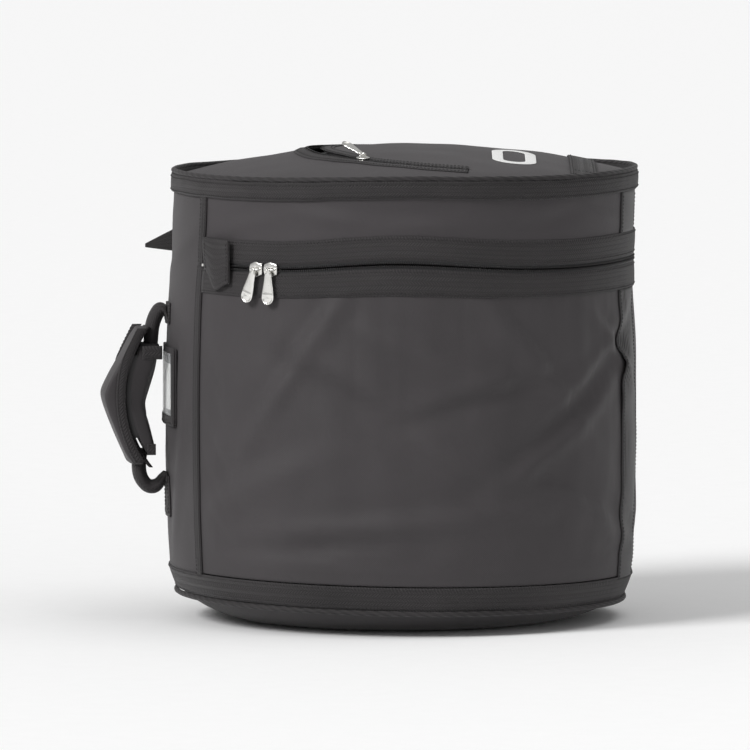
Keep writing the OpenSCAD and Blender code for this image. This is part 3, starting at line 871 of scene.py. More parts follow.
def bottom_rim():
    """Conical herringbone tape with a raised bead under it."""
    width = RIM_HIGH - RIM_LOW
    middle = (RIM_HIGH + RIM_LOW) / 2
    tape = strip(
        "bottom_rim_tape_woven", lambda a, x, h: rim_point(a, middle + x, h - 1.2 * MM),
        ALL_ROUND, width, 3.0 * MM, TAPE, True, 0.4 * MM, 8,
    )
    finish_piece(tape, "bag", "webbing", "bottom_rim_tape")
    bead_r = high("bottom_rim_piping").x - 2.4 * MM
    path = [slump(polar(bead_r + 0.3 * MM * math.sin(7 * a), a, RIM_LOW - 2.2 * MM)) for a in ALL_ROUND]
    bead = tube("bottom_rim_bead", path, 2.5 * MM, TAPE, 12, True)
    finish_piece(bead, "bag", "webbing", "bottom_rim_piping")
    rows = []
    for z in (RIM_LOW + 2.6 * MM, RIM_HIGH - 2.2 * MM):
        rows.append(stitch_loop("rim_stitches", lambda a, z=z: rim_point(a, z, 1.9 * MM)))
    merge(rows, "bag", "bottom_rim_stitches")


def stitch_loop(name, point_at, angles=ALL_ROUND, closed=True):
    """Stitches along a level line; point_at(angle) gives each place."""
    path = [point_at(a) for a in (list(angles) + [angles[0]] if closed else angles)]
    normals = [Vector((p.x, p.y, 0)).normalized() for p in path]
    return stitch_row(name, list(zip(path, normals)), THREAD)


def merge(pieces, body, name):
    """Several small meshes of one material as one piece on a body."""
    mesh = bpy.data.meshes.new(name)
    joined = bmesh.new()
    for piece in pieces:
        joined.from_mesh(piece.data)
    joined.to_mesh(mesh)
    joined.free()
    whole = bpy.data.objects.new(name, mesh)
    bpy.context.scene.collection.objects.link(whole)
    whole.data.materials.append(pieces[0].data.materials[0])
    for piece in pieces:
        bpy.data.objects.remove(piece)
    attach(whole, body)
    return whole


def stitches_upright(name, angle, heights, lift):
    """A row of stitches up the wall."""
    path = [(skin(angle, z, lift), skin_normal(angle, z)) for z in heights]
    return stitch_row(name, path, THREAD)


def seam_bindings():
    """Narrow bound tapes where the hinge panel meets the wall and the lid band, with two stitch rows."""
    for side, angle in (("front", HINGE_FRONT), ("rear", HINGE_REAR)):
        for part, body, bottom, top in (
            ("lower", "bag", RIM_HIGH - 1 * MM, WALL_TOP + 4 * MM),
            ("upper", "lid", LID_BOTTOM - 4 * MM, TOP_RIM_LOW + 2 * MM),
        ):
            heights = stations(bottom, top, 4 * MM)
            name = f"{side}_seam_{part}_bound"
            band = upright_band(name, angle, 11 * MM, 1.9 * MM, heights, BINDING, -0.2 * MM, 0.5 * MM)
            finish_piece(band, body, "webbing", f"{side}_seam_{part}")
            rows = [
                stitches_upright("row", angle + x / BELLY_R, heights, 1.95 * MM)
                for x in (-3.9 * MM, 3.9 * MM)
            ]
            merge(rows, body, f"{side}_seam_{part}_stitches")


def zip_angles(step=4.5 * MM):
    return stations(HINGE_FRONT + SEAM_HALF, HINGE_REAR - SEAM_HALF, step / BELLY_R)


def zip_tapes():
    """Herringbone tapes either side of the main zip, their stitches, and the coil tape between them."""
    angles = zip_angles()
    for part, body, side in (("lower", "bag", -1), ("upper", "lid", 1)):
        inner = ZIP_Z + side * TEETH_GAP
        middle = inner + side * (TAPE_W / 2 + 0.4 * MM)
        band = level_band(
            f"{part}_zip_tape_woven", middle, TAPE_W - 0.8 * MM, TAPE_T, angles, TAPE,
            False, 0.0, 0.5 * MM, 0.5 * MM,
        )
        finish_piece(band, body, "webbing", f"{part}_zip_tape")
        coil_tape = level_band(
            f"{part}_coil_tape", inner + side * 0.6 * MM, 5.0 * MM, 0.9 * MM, angles, LINING,
            False, 0.1 * MM,
        )
        finish_piece(coil_tape, body, "nylon")
        rows = []
        for distance in (3.2 * MM, TAPE_W - 2.4 * MM):
            z = inner + side * distance
            rows.append(stitch_loop("row", lambda a, z=z: skin(a, z, TAPE_T + 0.35 * MM), angles, False))
        merge(rows, body, f"{part}_zip_tape_stitches")


def zip_teeth_row(name, angles_of_row, centre_z, side, material):
    """One row of coil teeth: a bead for every tooth, each with a nose that reaches past the middle."""
    verts, faces = [], []
    tall, deep, wide = 2.3 * MM, 2.2 * MM, 1.25 * MM
    pitch = 2.1 * MM / LID_R
    start, stop = angles_of_row[0], angles_of_row[-1]
    count = int((stop - start) / pitch)
    for n in range(count):
        angle = start + (n + (0.5 if side > 0 else 0.0)) * pitch
        origin = skin(angle, centre_z, 0.0)
        out = Vector((math.sin(angle), -math.cos(angle), 0))
        along = Vector((math.cos(angle), math.sin(angle), 0))
        rings = []
        for t, size in ((-0.5, 0.7), (-0.25, 1.0), (0.2, 1.0), (0.5, 0.55)):
            middle = origin + Vector((0, 0, -side * t * tall)) + out * (0.15 * MM + deep / 2)
            rings.append((middle, along * wide / 2 * size, out * deep / 2 * size))
        add_bead(verts, faces, rings, 0.5)
    return make_piece(name, verts, faces, material)


def zip_teeth():
    offset = TEETH_GAP / 2
    for part, body, side in (("lower", "bag", -1), ("upper", "lid", 1)):
        row = zip_teeth_row(f"{part}_zip_teeth_row", zip_angles(), ZIP_Z + side * offset, side, TEETH)
        finish_piece(row, body, "zip_teeth", f"{part}_zip_teeth")


def side_strap():
    """Wide ribbed webbing up the right side, buckled in its middle; the lid carries its upper part."""
    def buckle(z, across):
        share = across / STRAP_W + 0.5
        ripple = bump(z - 240 * MM, 26 * MM) * math.sin((z - 240 * MM) / (6.2 * MM)) * 0.9
        lift = bump(z - 236 * MM, 34 * MM) * 2.6 * (1 - share) ** 0.7
        return (ripple * (1 - 0.7 * share) + lift) * MM

    for part, body, bottom, top in (
        ("lower", "bag", RIM_HIGH - 1 * MM, ZIP_Z - TEETH_GAP - TAPE_W),
        ("upper", "lid", ZIP_Z + TEETH_GAP + TAPE_W, TOP_RIM_LOW + 1 * MM),
    ):
        heights = stations(bottom, top, 2.6 * MM)
        strap = strip(
            f"side_strap_{part}_ribbed",
            lambda z, x, h: skin(STRAP_MID + x / BELLY_R, z, h + buckle(z, x) - 0.1 * MM),
            heights, STRAP_W, 2.0 * MM, RIBBED, False, 0.3 * MM, 16,
        )
        finish_piece(strap, body, "webbing", f"side_strap_{part}")
        rows = []
        for x in (-STRAP_W / 2 + 2.6 * MM, STRAP_W / 2 - 2.6 * MM):
            path = [
                (skin(STRAP_MID + x / BELLY_R, z, 2.05 * MM + buckle(z, x)), skin_normal(STRAP_MID, z))
                for z in heights
            ]
            rows.append(stitch_row("row", path, THREAD))
        merge(rows, body, f"side_strap_{part}_stitches")


def box_stitches(name, angle, bottom, top, half, body, lift):
    """A sewn box with a cross in it, as holds a webbing end down."""
    def at(x, z):
        a = angle + x / BELLY_R
        return skin(a, z, lift), skin_normal(a, z)

    def line(x0, z0, x1, z1):
        return [at(x0 + (x1 - x0) * t / 12, z0 + (z1 - z0) * t / 12) for t in range(13)]

    corners = [(-half, bottom), (half, bottom), (half, top), (-half, top)]
    rows = [stitch_row("row", line(*corners[i], *corners[(i + 1) % 4]), THREAD) for i in range(4)]
    rows.append(stitch_row("row", line(*corners[0], *corners[2]), THREAD))
    rows.append(stitch_row("row", line(*corners[1], *corners[3]), THREAD))
    return merge(rows, body, name)


def handle_patches():
    """Webbing ends sewn flat on the hinge panel, above and below the handle."""
    width = 38 * MM
    for part in ("upper", "lower"):
        node = f"{part}_handle_patch"
        bottom, top = low(node).z, high(node).z
        heights = stations(bottom, top, 3 * MM)
        patch = upright_band(
            f"{part}_handle_end", SPINE, width, 2.0 * MM, heights, WEBBING, -0.1 * MM, 0.3 * MM,
        )
        finish_piece(patch, "bag", "webbing", node)
        box_stitches(
            f"{part}_handle_end_stitches", SPINE, bottom + 3 * MM, top - 3 * MM,
            width / 2 - 3.5 * MM, "bag", 2.1 * MM,
        )


def id_pocket():
    """Card window on the hinge panel: backing, clear film and a stitched frame round them."""
    bottom, top = low("id_frame").z, high("id_frame").z
    half = math.radians(13) * BELLY_R
    base_r = BELLY_R + 0.1 * MM

    def flat(across, z, height):
        return slump(polar(base_r + height, SPINE + across / BELLY_R, z))

    backing = sheet_between(
        "id_pocket_backing", lambda s, z, h: flat(s, z, h + 1.1 * MM),
        stations(-half, half, 4 * MM), stations(bottom, top, 4 * MM), 1.1 * MM, NYLON,
    )
    finish_piece(backing, "bag", "nylon", "id_backing")
    border = 2.6 / 13 * half
    reach_z = 10 * MM
    window = sheet_between(
        "id_clear_window", lambda s, z, h: flat(s, z, h + 2.7 * MM + 0.25 * MM * math.sin(140 * s + 3)),
        stations(-half + 0.6 * border, half - 0.6 * border, 3 * MM),
        stations(bottom + 0.6 * reach_z, top - 5 * MM, 3 * MM), 0.5 * MM, FILM,
    )
    finish_piece(window, "bag", "clear_film", "id_window")

    width = border

    def frame_side(name, start, stop, inward):
        def place(s, across, height):
            x = start[0] + (stop[0] - start[0]) * s + inward[0] * (across + width / 2)
            z = start[1] + (stop[1] - start[1]) * s + inward[1] * (across + width / 2)
            return flat(x, z, height + 1.2 * MM)
        return strip(name, place, stations(0, 1, 0.07), width, 2.1 * MM, BINDING, False, 0.3 * MM, 6)

    sides = [
        frame_side("side", (-half, bottom), (-half, top), (1, 0)),
        frame_side("side", (half, bottom), (half, top), (-1, 0)),
        frame_side("side", (-half, bottom), (half, bottom), (0, 1)),
    ]
    frame_piece = merge(sides, "bag", "id_pocket_frame")
    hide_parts("id_frame")
    inset = 2.4 * MM
    left, right, floor, ceiling = -half + inset, half - inset, bottom + inset, top - 1 * MM
    outlines = (
        [(left, z) for z in stations(ceiling, floor, 4 * MM)],
        [(x, floor) for x in stations(left, right, 4 * MM)],
        [(right, z) for z in stations(floor, ceiling, 4 * MM)],
    )
    out = polar(1, SPINE, 0)
    rows = [
        stitch_row("row", [(flat(x, z, 3.4 * MM), out) for x, z in outline], THREAD) for outline in outlines
    ]
    merge(rows, "bag", "id_pocket_stitches")


def hinge_panel():
    """One cloth from the base to the top rim."""
    panel = sheet_between(
        "hinge_panel_cloth", lambda s, z, h: skin(s, z, h - 0.1 * MM),
        stations(HINGE_REAR - 2 * math.pi, HINGE_FRONT, 4.2 * MM / BELLY_R),
        stations(RIM_HIGH - 1 * MM, TOP_RIM_LOW + 2 * MM, 4 * MM), FABRIC, NYLON,
    )
    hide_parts("hinge_panel_lower", "hinge_panel_upper")
    hinge = Vector(JOINTS["lid_hinge"]["pos_m"])
    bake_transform(panel)


# ---- Lid ----

def dome_point(x, y, height=0.0):
    """Point at a height above the lid's domed top, which is a little creased."""
    reach = min(1.0, math.hypot(x, y) / PANEL_R)
    drop = math.sqrt(DOME_R ** 2 - x * x - y * y) - DOME_R
    quiet = smooth_step((1 - reach) / 0.18)
    broad = 1.5 * noise.noise(Vector((11 * x, 11 * y, 4.2)))
    wave = broad + 0.7 * noise.noise(Vector((27 * x, 27 * y, 9.0)))
    return slump(Vector((x, y, DOME_TOP + drop + height + quiet * wave * MM)))


def lid_band():
    band = sheet_between(
        "lid_band_outer", skin, stations(HINGE_FRONT, HINGE_REAR, 4.2 * MM / LID_R),
        stations(LID_BOTTOM, TOP_RIM_LOW + 10 * MM, 3.4 * MM), FABRIC, LID_PAINTED_LIGHT_NYLON,
    )
    add_subdivision(band)
    finish_piece(band, "lid", "nylon", "lid_band_shell")


def lid_padding():
    """The lid's foam, bound at its lower edge, and its domed ceiling, under one lining."""
    under = high("lid_panel").z - DOME_R
    outer_r = LID_R - FABRIC - 0.2 * MM
    inner_r = LID_R - LAYERS
    top_z = high("lid_band_foam").z - 8 * MM

    def ceiling(radius, depth):
        return under + math.sqrt(DOME_R ** 2 - radius ** 2) - depth

    above = 4.4 * MM
    shares = (0.004, 0.2, 0.4, 0.6, 0.8, 0.9)
    profile = [(outer_r * t, ceiling(outer_r * t, above)) for t in shares]
    shoulder = outer_r - 12 * MM
    profile += [(shoulder, ceiling(shoulder, above)), (outer_r - 4 * MM, top_z + 2 * MM)]
    profile += [(outer_r, top_z - 3 * MM)]
    profile += [(outer_r, z) for z in stations(top_z - 10 * MM, LID_BOTTOM + 4 * MM, 9 * MM)]
    profile += [(outer_r - 1.2 * MM, LID_BOTTOM + 1.4 * MM), (outer_r - 4.7 * MM, LID_BOTTOM + 0.2 * MM),
                (outer_r - 8.2 * MM, LID_BOTTOM + 1.4 * MM)]
    lining_depth = above + 10.0 * MM
    profile += [(inner_r, z) for z in stations(LID_BOTTOM + 5 * MM, top_z - 24 * MM, 9 * MM)]
    corner = inner_r - 10 * MM
    corner_z = ceiling(corner, lining_depth)
    profile += [(inner_r - 2 * MM, corner_z - 8 * MM), (inner_r - 6 * MM, corner_z - 2.5 * MM)]
    inner_shares = (0.96, 0.85, 0.65, 0.45, 0.2, 0.004)
    profile += [(corner * t, ceiling(corner * t, lining_depth)) for t in inner_shares]

    def soft(angle, radius, z):
        quilt = 0.9 * MM * noise.noise(Vector((6 * math.sin(angle), 6 * math.cos(angle), 30 * z)))
        return quilt * (1 if radius < inner_r + 2 * MM else 0) * smooth_step(radius / LID_R)

    piece = revolve("lid_padding", profile, LINING, wave=soft)
    add_subdivision(piece)
    finish_piece(piece, "lid", "lining", "lid_band_foam", "lid_band_lining", "lid_foam", "lid_lining")


POCKET = Vector((62 * MM, -11 * MM))
POCKET_R = 149 * MM
POCKET_START = math.radians(-91)
POCKET_END = math.radians(-230)
POCKET_SLIDER = math.atan2(
    JOINTS["pocket_pull_swing"]["pos_m"][1] - POCKET.y, JOINTS["pocket_pull_swing"]["pos_m"][0] - POCKET.x,
)
POCKET_TAPE = 26 * MM
POCKET_GAP = 2.4 * MM


def pocket_opening(turn):
    """Half the gap between the lips of the lid pocket's zip. It is open behind its slider."""
    turn = wrap(turn - POCKET_SLIDER - math.pi) + POCKET_SLIDER - math.pi
    if turn > POCKET_SLIDER or turn < POCKET_END:
        return POCKET_GAP / 2
    share = (POCKET_SLIDER - turn) / (POCKET_SLIDER - POCKET_END)
    return POCKET_GAP / 2 + 6.0 * MM * math.sin(math.pi * share ** 0.7)


def in_slit(turn):
    turn = wrap(turn - POCKET_START - 1e-6 - math.pi) + POCKET_START - math.pi
    return POCKET_END <= turn <= POCKET_START + 0.001


def pocket_place(radius, turn, height=0.0):
    """Point on the lid by its distance and direction from the pocket's centre."""
    gap = pocket_opening(turn) - POCKET_GAP / 2
    lip = gap * bump(radius - POCKET_R, 16 * MM) * (0.55 if radius > POCKET_R else 0.15)
    return dome_point(POCKET.x + radius * math.cos(turn), POCKET.y + radius * math.sin(turn), height + lip)


def lid_panel():
    """The lid's round top cloth, cut by the pocket's curved slit."""
    turns = stations(0, 2 * math.pi, 0.022)[:-1]
    inner = [t / 26 for t in range(27)]
    outer = [t / 14 for t in range(15)]

    def edge(turn):
        """Distance from the pocket's centre to the panel's rim in a direction."""
        dot = POCKET.x * math.cos(turn) + POCKET.y * math.sin(turn)
        return -dot + math.sqrt(dot ** 2 - POCKET.length_squared + (PANEL_R - 0.3 * MM) ** 2)

    def column(turn):
        gap = 3.4 * MM + pocket_opening(turn) - POCKET_GAP / 2
        low_r = [(POCKET_R - gap) * max(t, 0.003) for t in inner]
        high_r = [POCKET_R + gap + (edge(turn) - POCKET_R - gap) * t for t in outer]
        return low_r + high_r

    split = len(inner)
    rows = split + len(outer)
    verts, faces, uvs = [], [], []
    for level in (0.0, -FABRIC):
        for turn in turns:
            verts += [pocket_place(r, turn, level) for r in column(turn)]
    count = len(turns)
    back = count * rows

    def flat(index):
        index %= back
        point = verts[index]
        return (point.x, point.y)

    def face(*corners):
        faces.append(corners)
        uvs.extend(flat(c) for c in corners)

    for i in range(count):
        k = (i + 1) % count
        middle = (turns[i] + 0.011)
        for j in range(rows - 1):
            if j == split - 1 and in_slit(middle):
                for row, flip in ((j, False), (j + 1, True)):
                    side = (i * rows + row, k * rows + row, k * rows + row + back, i * rows + row + back)
                    face(*(side[::-1] if flip else side))
                continue
            a, b, c, d = i * rows + j, i * rows + j + 1, k * rows + j + 1, k * rows + j
            face(a, b, c, d)
            face(d + back, c + back, b + back, a + back)
        a, d = i * rows + rows - 1, k * rows + rows - 1
        face(a, a + back, d + back, d)
    for start in (0, back):
        loop = [start + i * rows for i in range(count)]
        face(*(loop if start else loop[::-1]))
    panel = make_piece("lid_panel_cloth", verts, faces, LID_PAINTED_LIGHT_NYLON, uvs)
    finish_piece(panel, "lid", "nylon", "lid_panel")


def pocket_lining():
    """Thin lining under the lid's top cloth: what shows in the open pocket."""
    radii = stations(0.01, 0.985 * PANEL_R, 12 * MM)
    turns = stations(0, 2 * math.pi, 0.06)[:-1]
    verts, faces = [], []
    for level in (-4.6 * MM, -5.4 * MM):
        for turn in turns:
            for r in radii:
                near = smooth_step((0.93 * PANEL_R - r) / (0.1 * PANEL_R))
                depth = level * near + (level + 3.0 * MM) * (1 - near)
                verts.append(dome_point(r * math.cos(turn), r * math.sin(turn), depth))
    rows, count = len(radii), len(turns)
    back = rows * count
    for i in range(count):
        k = (i + 1) % count
        for j in range(rows - 1):
            a, b, c, d = i * rows + j, i * rows + j + 1, k * rows + j + 1, k * rows + j
            faces += [(a, b, c, d), (d + back, c + back, b + back, a + back)]
        a, d = i * rows + rows - 1, k * rows + rows - 1
        faces.append((a, a + back, d + back, d))
    for start in (0, back):
        loop = [start + i * rows for i in range(count)]
        faces.append(tuple(loop if start else loop[::-1]))
    uvs = [(verts[c].x, verts[c].y) for face in faces for c in face]
    lining = make_piece("lid_pocket_lining", verts, faces, LINING, uvs)
    finish_piece(lining, "lid", "lining", "pocket_lining")


def pocket_zip():
    """Tapes and teeth of the lid pocket, closed in front of its slider and lying open behind it."""
    turns = stations(POCKET_START, POCKET_END, 0.022)
    tapes, rows = [], []
    for side in (-1, 1):
        def place(turn, across, height, side=side):
            distance = pocket_opening(turn) - POCKET_GAP / 2 + 1.4 * MM + (across + POCKET_TAPE / 4)
            return pocket_place(POCKET_R + side * distance, turn, height + 0.1 * MM)
        width = POCKET_TAPE / 2 - 1.2 * MM
        tapes.append(strip("tape", place, turns, width, 0.9 * MM, TAPE, False, 0.2 * MM, 6))
        for distance in (3.4 * MM, POCKET_TAPE / 2 - 2.4 * MM):
            path = []
            for turn in turns:
                at = POCKET_R + side * (distance + pocket_opening(turn) - POCKET_GAP / 2)
                path.append((pocket_place(at, turn, 1.15 * MM), Vector((0, 0, 1))))
            rows.append(stitch_row("row", path, THREAD))
    woven = merge(tapes, "lid", "pocket_zip_tapes")
    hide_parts("pocket_zip_tape")
    merge(rows, "lid", "pocket_zip_stitches")

    verts, faces = [], []
    pitch = 1.7 * MM / POCKET_R
    for side in (-1, 1):
        count = int((POCKET_START - POCKET_END) / pitch)
        for n in range(count):
            turn = POCKET_START - (n + (0.5 if side > 0 else 0.0)) * pitch
            gap = pocket_opening(turn) - POCKET_GAP / 2
            rings = []
            for t, size in ((-0.5, 0.6), (0.0, 1.0), (0.5, 0.6)):
                at = POCKET_R + side * (gap + 0.35 * MM + 0.9 * MM * (t + 0.5))
                middle = pocket_place(at, turn, 0.9 * MM)
                along = Vector((-math.sin(turn), math.cos(turn), 0))
                rings.append((middle, along * 0.5 * MM * size, Vector((0, 0, 0.7 * MM * size))))
            add_bead(verts, faces, rings)
    teeth = make_piece("pocket_zip_teeth_rows", verts, faces, TEETH)
    finish_piece(teeth, "lid", "zip_teeth", "pocket_zip_teeth")


def top_rim():
    """Herringbone tape round the lid's top edge, turned over into a soft bead, with two stitch rows."""
    radius = high("top_rim_tape").x - 2.6 * MM
    low_z, high_z = TOP_RIM_LOW, TOP_RIM_HIGH
    middle, width = (low_z + high_z) / 2, high_z - low_z

    def place(angle, across, height):
        share = across / width + 0.5
        pucker = 0.55 * MM * noise.noise(Vector((14 * math.sin(angle), 14 * math.cos(angle), 3 + share)))
        edge = 0.7 * MM * noise.noise(Vector((8 * math.sin(angle), 8 * math.cos(angle), 7 + 2 * share)))
        reach = radius + height + pucker + 0.4 * MM * math.sin(math.pi * share)
        return slump(polar(reach, angle, middle + across + edge))

    tape = strip("top_rim_tape_woven", place, ALL_ROUND, width, 2.6 * MM, TAPE, True, 0.3 * MM, 8)
    finish_piece(tape, "lid", "webbing", "top_rim_tape")
    bead_r = high("top_rim_piping").x - 2.4 * MM

    def bead_point(angle):
        roll = 0.8 * MM * noise.noise(Vector((7 * math.sin(angle), 7 * math.cos(angle), 1)))
        return slump(polar(bead_r + roll, angle, LIP_TOP - 2.6 * MM + 0.5 * roll))

    bead = tube("top_rim_bead", [bead_point(a) for a in ALL_ROUND], 2.5 * MM, TAPE, 12, True)
    finish_piece(bead, "lid", "webbing", "top_rim_piping")
    lip = strip(
        "top_rim_inner_lip", lambda a, x, h: slump(polar(PANEL_R + 1.2 * MM - h, a, middle + 2 * MM + x)),
        ALL_ROUND, width - 2 * MM, 1.2 * MM, BINDING, True,
    )
    finish_piece(lip, "lid", "webbing")
    rows = [
        stitch_loop("row", lambda a, x=x: place(a, x, 2.95 * MM))
        for x in (-width / 2 + 2.4 * MM, width / 2 - 3.2 * MM)
    ]
    merge(rows, "lid", "top_rim_stitches")


def lid_strap():
    """Webbing sewn across the lid, with its fold at each end."""
    middle_x = (low("lid_strap").x + high("lid_strap").x) / 2
    width = high("lid_strap").x - low("lid_strap").x
    reach = high("lid_strap").y - 1 * MM

    def place(y, across, height):
        return dome_point(middle_x + across, y, height + 0.1 * MM)

    strap = strip(
        "lid_strap_webbing", place, stations(-reach, reach, 4 * MM),
        width, 2.0 * MM, WEBBING, False, 0.3 * MM,
    )
    finish_piece(strap, "lid", "webbing", "lid_strap")
    up = Vector((0, 0, 1))
    lengthwise = stations(-reach + 2 * MM, reach - 2 * MM, 4 * MM)
    crosswise = stations(-width / 2 + 3 * MM, width / 2 - 3 * MM, 2 * MM)
    lines = [[(x, y) for y in lengthwise] for x in (-width / 2 + 2.6 * MM, width / 2 - 2.6 * MM)]
    lines += [
        [(x, y) for x in crosswise]
        for y in (-reach + 3 * MM, -reach + 22 * MM, reach - 3 * MM, reach - 22 * MM)
    ]
    rows = [stitch_row("row", [(place(y, x, 2.15 * MM), up) for x, y in line], THREAD) for line in lines]
    merge(rows, "lid", "lid_strap_stitches")


def lid_print():
    """Generic white printed ring on the lid."""
    middle = (low("lid_print") + high("lid_print")) / 2
    half_w = (high("lid_print").x - low("lid_print").x) / 2
    straight = (high("lid_print").y - low("lid_print").y) / 2 - half_w
    band = half_w * 0.5

    turn_r = half_w - band / 2
    arc = math.pi * turn_r
    total = 2 * (2 * straight + arc)

    def ring_place(t, across, height):
        """t runs once round the mark, along two straight sides and two half circles."""
        distance, side = t * total, 1
        if distance > total / 2:
            distance, side = distance - total / 2, -1
        r = turn_r + across
        if distance < 2 * straight:
            x, y = side * r, side * (distance - straight)
        else:
            turn = (distance - 2 * straight) / turn_r
            x, y = side * r * math.cos(turn), side * (straight + r * math.sin(turn))
        return dome_point(middle.x + x, middle.y + y, height + 0.25 * MM)

    steps = [t / 72 for t in range(72)]
    mark = strip("lid_print_ring", ring_place, steps, band, 0.4 * MM, INK, True, 0.0, 4)
    finish_piece(mark, "lid", "white_print", "lid_print")


# ---- Zip sliders and pulls ----

PLATE_GAP = 2.6 * MM
PLATE_T = 2.0 * MM
BAR_Z = 7.6 * MM
BAR_R = 1.1 * MM
BAR_L = 10.4 * MM
PULL_L = 33 * MM
PULL_END = 6.5 * MM
PULL_NECK = 2.6 * MM


def join_parts(name, parts, place):
    """Parts built about their own origin, moved by a matrix and joined as one metal piece."""
    mesh = bpy.data.meshes.new(name)
    joined = bmesh.new()
    for part in parts:
        joined.from_mesh(part.data)
        bpy.data.objects.remove(part)
    bmesh.ops.transform(joined, matrix=place, verts=joined.verts)
    joined.to_mesh(mesh)
    joined.free()
    whole = bpy.data.objects.new(name, mesh)
    bpy.context.scene.collection.objects.link(whole)
    whole.data.materials.append(NICKEL)
    mesh.polygons.foreach_set("use_smooth", [True] * len(mesh.polygons))
    return whole


def contour_plate(half_width, ends, top, bottom, steps=30, across=10):
    """A small cast plate along Y. half_width(y) is its outline; top(y, v) and bottom(y, v) its faces."""
    shares = [0.5 - 0.5 * math.cos(math.pi * i / steps) for i in range(steps + 1)]
    ys = [ends[0] + (ends[1] - ends[0]) * share for share in shares]
    rings = []
    for y in ys:
        half = max(half_width(y), 0.05 * MM)
        upper = [(v, top(y, v)) for v in [1 - 2 * k / across for k in range(across + 1)]]
        lower = [(v, bottom(y, v)) for v in [-1 + 2 * k / across for k in range(across + 1)]]
        rings.append([Vector((half * v, y, z)) for v, z in upper + lower])
    return loft("plate", rings, NICKEL)


def slider_parts(has_back, turned):
    """A zip slider about its own origin: X along the zip, Z out of it."""
    half_l, half_w = 7.5 * MM, 7.0 * MM

    def shield(y):
        share = abs(y) / half_l
        rounding = math.sqrt(max(0.0, 1 - max(0.0, (share - 0.86) / 0.14) ** 2))
        return half_w * (1 - 0.30 * smooth_step(share)) * rounding

    def top(y, v):
        return PLATE_GAP + PLATE_T - 0.5 * MM * v ** 4 - 0.25 * MM * (y / half_l) ** 2

    def bottom(y, v):
        return PLATE_GAP + 0.4 * MM * v ** 4

    front = contour_plate(shield, (-half_l, half_l), top, bottom)
    front.data.transform(Matrix.Rotation(math.pi / 2, 4, "Z"))
    parts = [front]
    for side in (-1, 1):
        path = [Vector((x, side * (half_w - 1.3 * MM) * (1 - 0.2 * abs(x) / half_l), PLATE_GAP - 1.6 * MM))
                for x in stations(-half_l + 2 * MM, half_l - 2 * MM, 1.5 * MM)]
        parts.append(tube("flange", path, 1.0 * MM, NICKEL, 8))
    if has_back:
        back = contour_plate(
            lambda y: 0.56 * shield(y), (-half_l, half_l),
            lambda y, v: -1.1 * MM - 0.2 * MM * v ** 4, lambda y, v: -3.1 * MM + 0.5 * MM * v ** 4,
        )
        back.data.transform(Matrix.Rotation(math.pi / 2, 4, "Z"))
        parts.append(back)
        wedge = [Vector((0.6 * MM, 0, z)) for z in (-2 * MM, PLATE_GAP + 0.5 * MM)]
        parts.append(tube("wedge", wedge, 1.3 * MM, NICKEL, 10))
    foot = PLATE_GAP + PLATE_T - 0.3 * MM
    half = BAR_L / 2
    left = [
        (-half + 0.2 * MM, foot), (-half + 0.1 * MM, BAR_Z - 2.0 * MM),
        (-half + 0.8 * MM, BAR_Z - 0.5 * MM), (-half + 2.2 * MM, BAR_Z),
    ]
    arch = left + [(0, BAR_Z)] + [(-x, z) for x, z in reversed(left)]
    bridge = tube("bridge", smooth_path([Vector((x, 0, z)) for x, z in arch], 4), BAR_R, NICKEL, 10)
    if turned:
        bridge.data.transform(Matrix.Rotation(math.pi / 2, 4, "Z"))
    parts.append(bridge)
    return parts


def smooth_path(points, steps):
    """Catmull-Rom curve through the points."""
    out = []
    for i in range(len(points) - 1):
        p0, p3 = points[max(0, i - 1)], points[min(len(points) - 1, i + 2)]
        p1, p2 = points[i], points[i + 1]
        for k in range(steps):
            t = k / steps
            out.append(0.5 * (2 * p1 + (p2 - p0) * t + (2 * p0 - 5 * p1 + 4 * p2 - p3) * t * t
                              + (3 * p1 - p0 - 3 * p2 + p3) * t ** 3))
    out.append(points[-1])
    return out


def pull_parts(lean):
    """A teardrop zip pull hanging towards -Y from a bar along X, with a stepped, dished end."""
    end_y = -PULL_L + PULL_END
    tip, head = -PULL_L, -2.2 * MM
    half_t = 0.8 * MM
    step_y = end_y + 2.0 * MM

    def outline(y):
        if y < end_y:
            return math.sqrt(max(0.0, PULL_END ** 2 - (y - end_y) ** 2))
        share = (y - end_y) / (head - end_y)
        width = PULL_END + (PULL_NECK + 1.0 * MM - PULL_END) * smooth_step(share)
        return width * (1 - 0.35 * smooth_step((share - 0.9) / 0.1))

    def top(y, v):
        crown = 0.25 * MM * (1 - v * v) - 0.45 * MM * abs(v) ** 6
        reach = math.hypot(v * outline(y), y - end_y + 0.6 * MM) / PULL_END
        dish = smooth_step((step_y - y) / (1.4 * MM)) * smooth_step((0.86 - reach) / 0.16)
        lip = 0.3 * MM * bump(y - step_y - 0.8 * MM, 0.9 * MM) * (1 - v * v)
        knob = 0.5 * MM * bump(reach, 0.3)
        return half_t + crown + lip - dish * (1.1 * MM - knob)

    plate = contour_plate(outline, (tip, head), top, lambda y, v: -half_t + 0.35 * MM * abs(v) ** 6, 56, 18)
    parts = [plate]
    ring = [Vector((0, 1.75 * MM * math.cos(t) - 0.4 * MM, 1.75 * MM * math.sin(t)))
            for t in [2 * math.pi * k / 20 for k in range(20)]]
    for x in (-1.5 * MM, 0.0, 1.5 * MM):
        eye = tube("eye", [p + Vector((x, 0, 0)) for p in ring], 0.62 * MM, NICKEL, 8, True)
        parts.append(eye)
    turn = Matrix.Translation((0, 0, BAR_Z)) @ Matrix.Rotation(-lean, 4, "Z")
    for part in parts:
        part.data.transform(turn)
    return parts


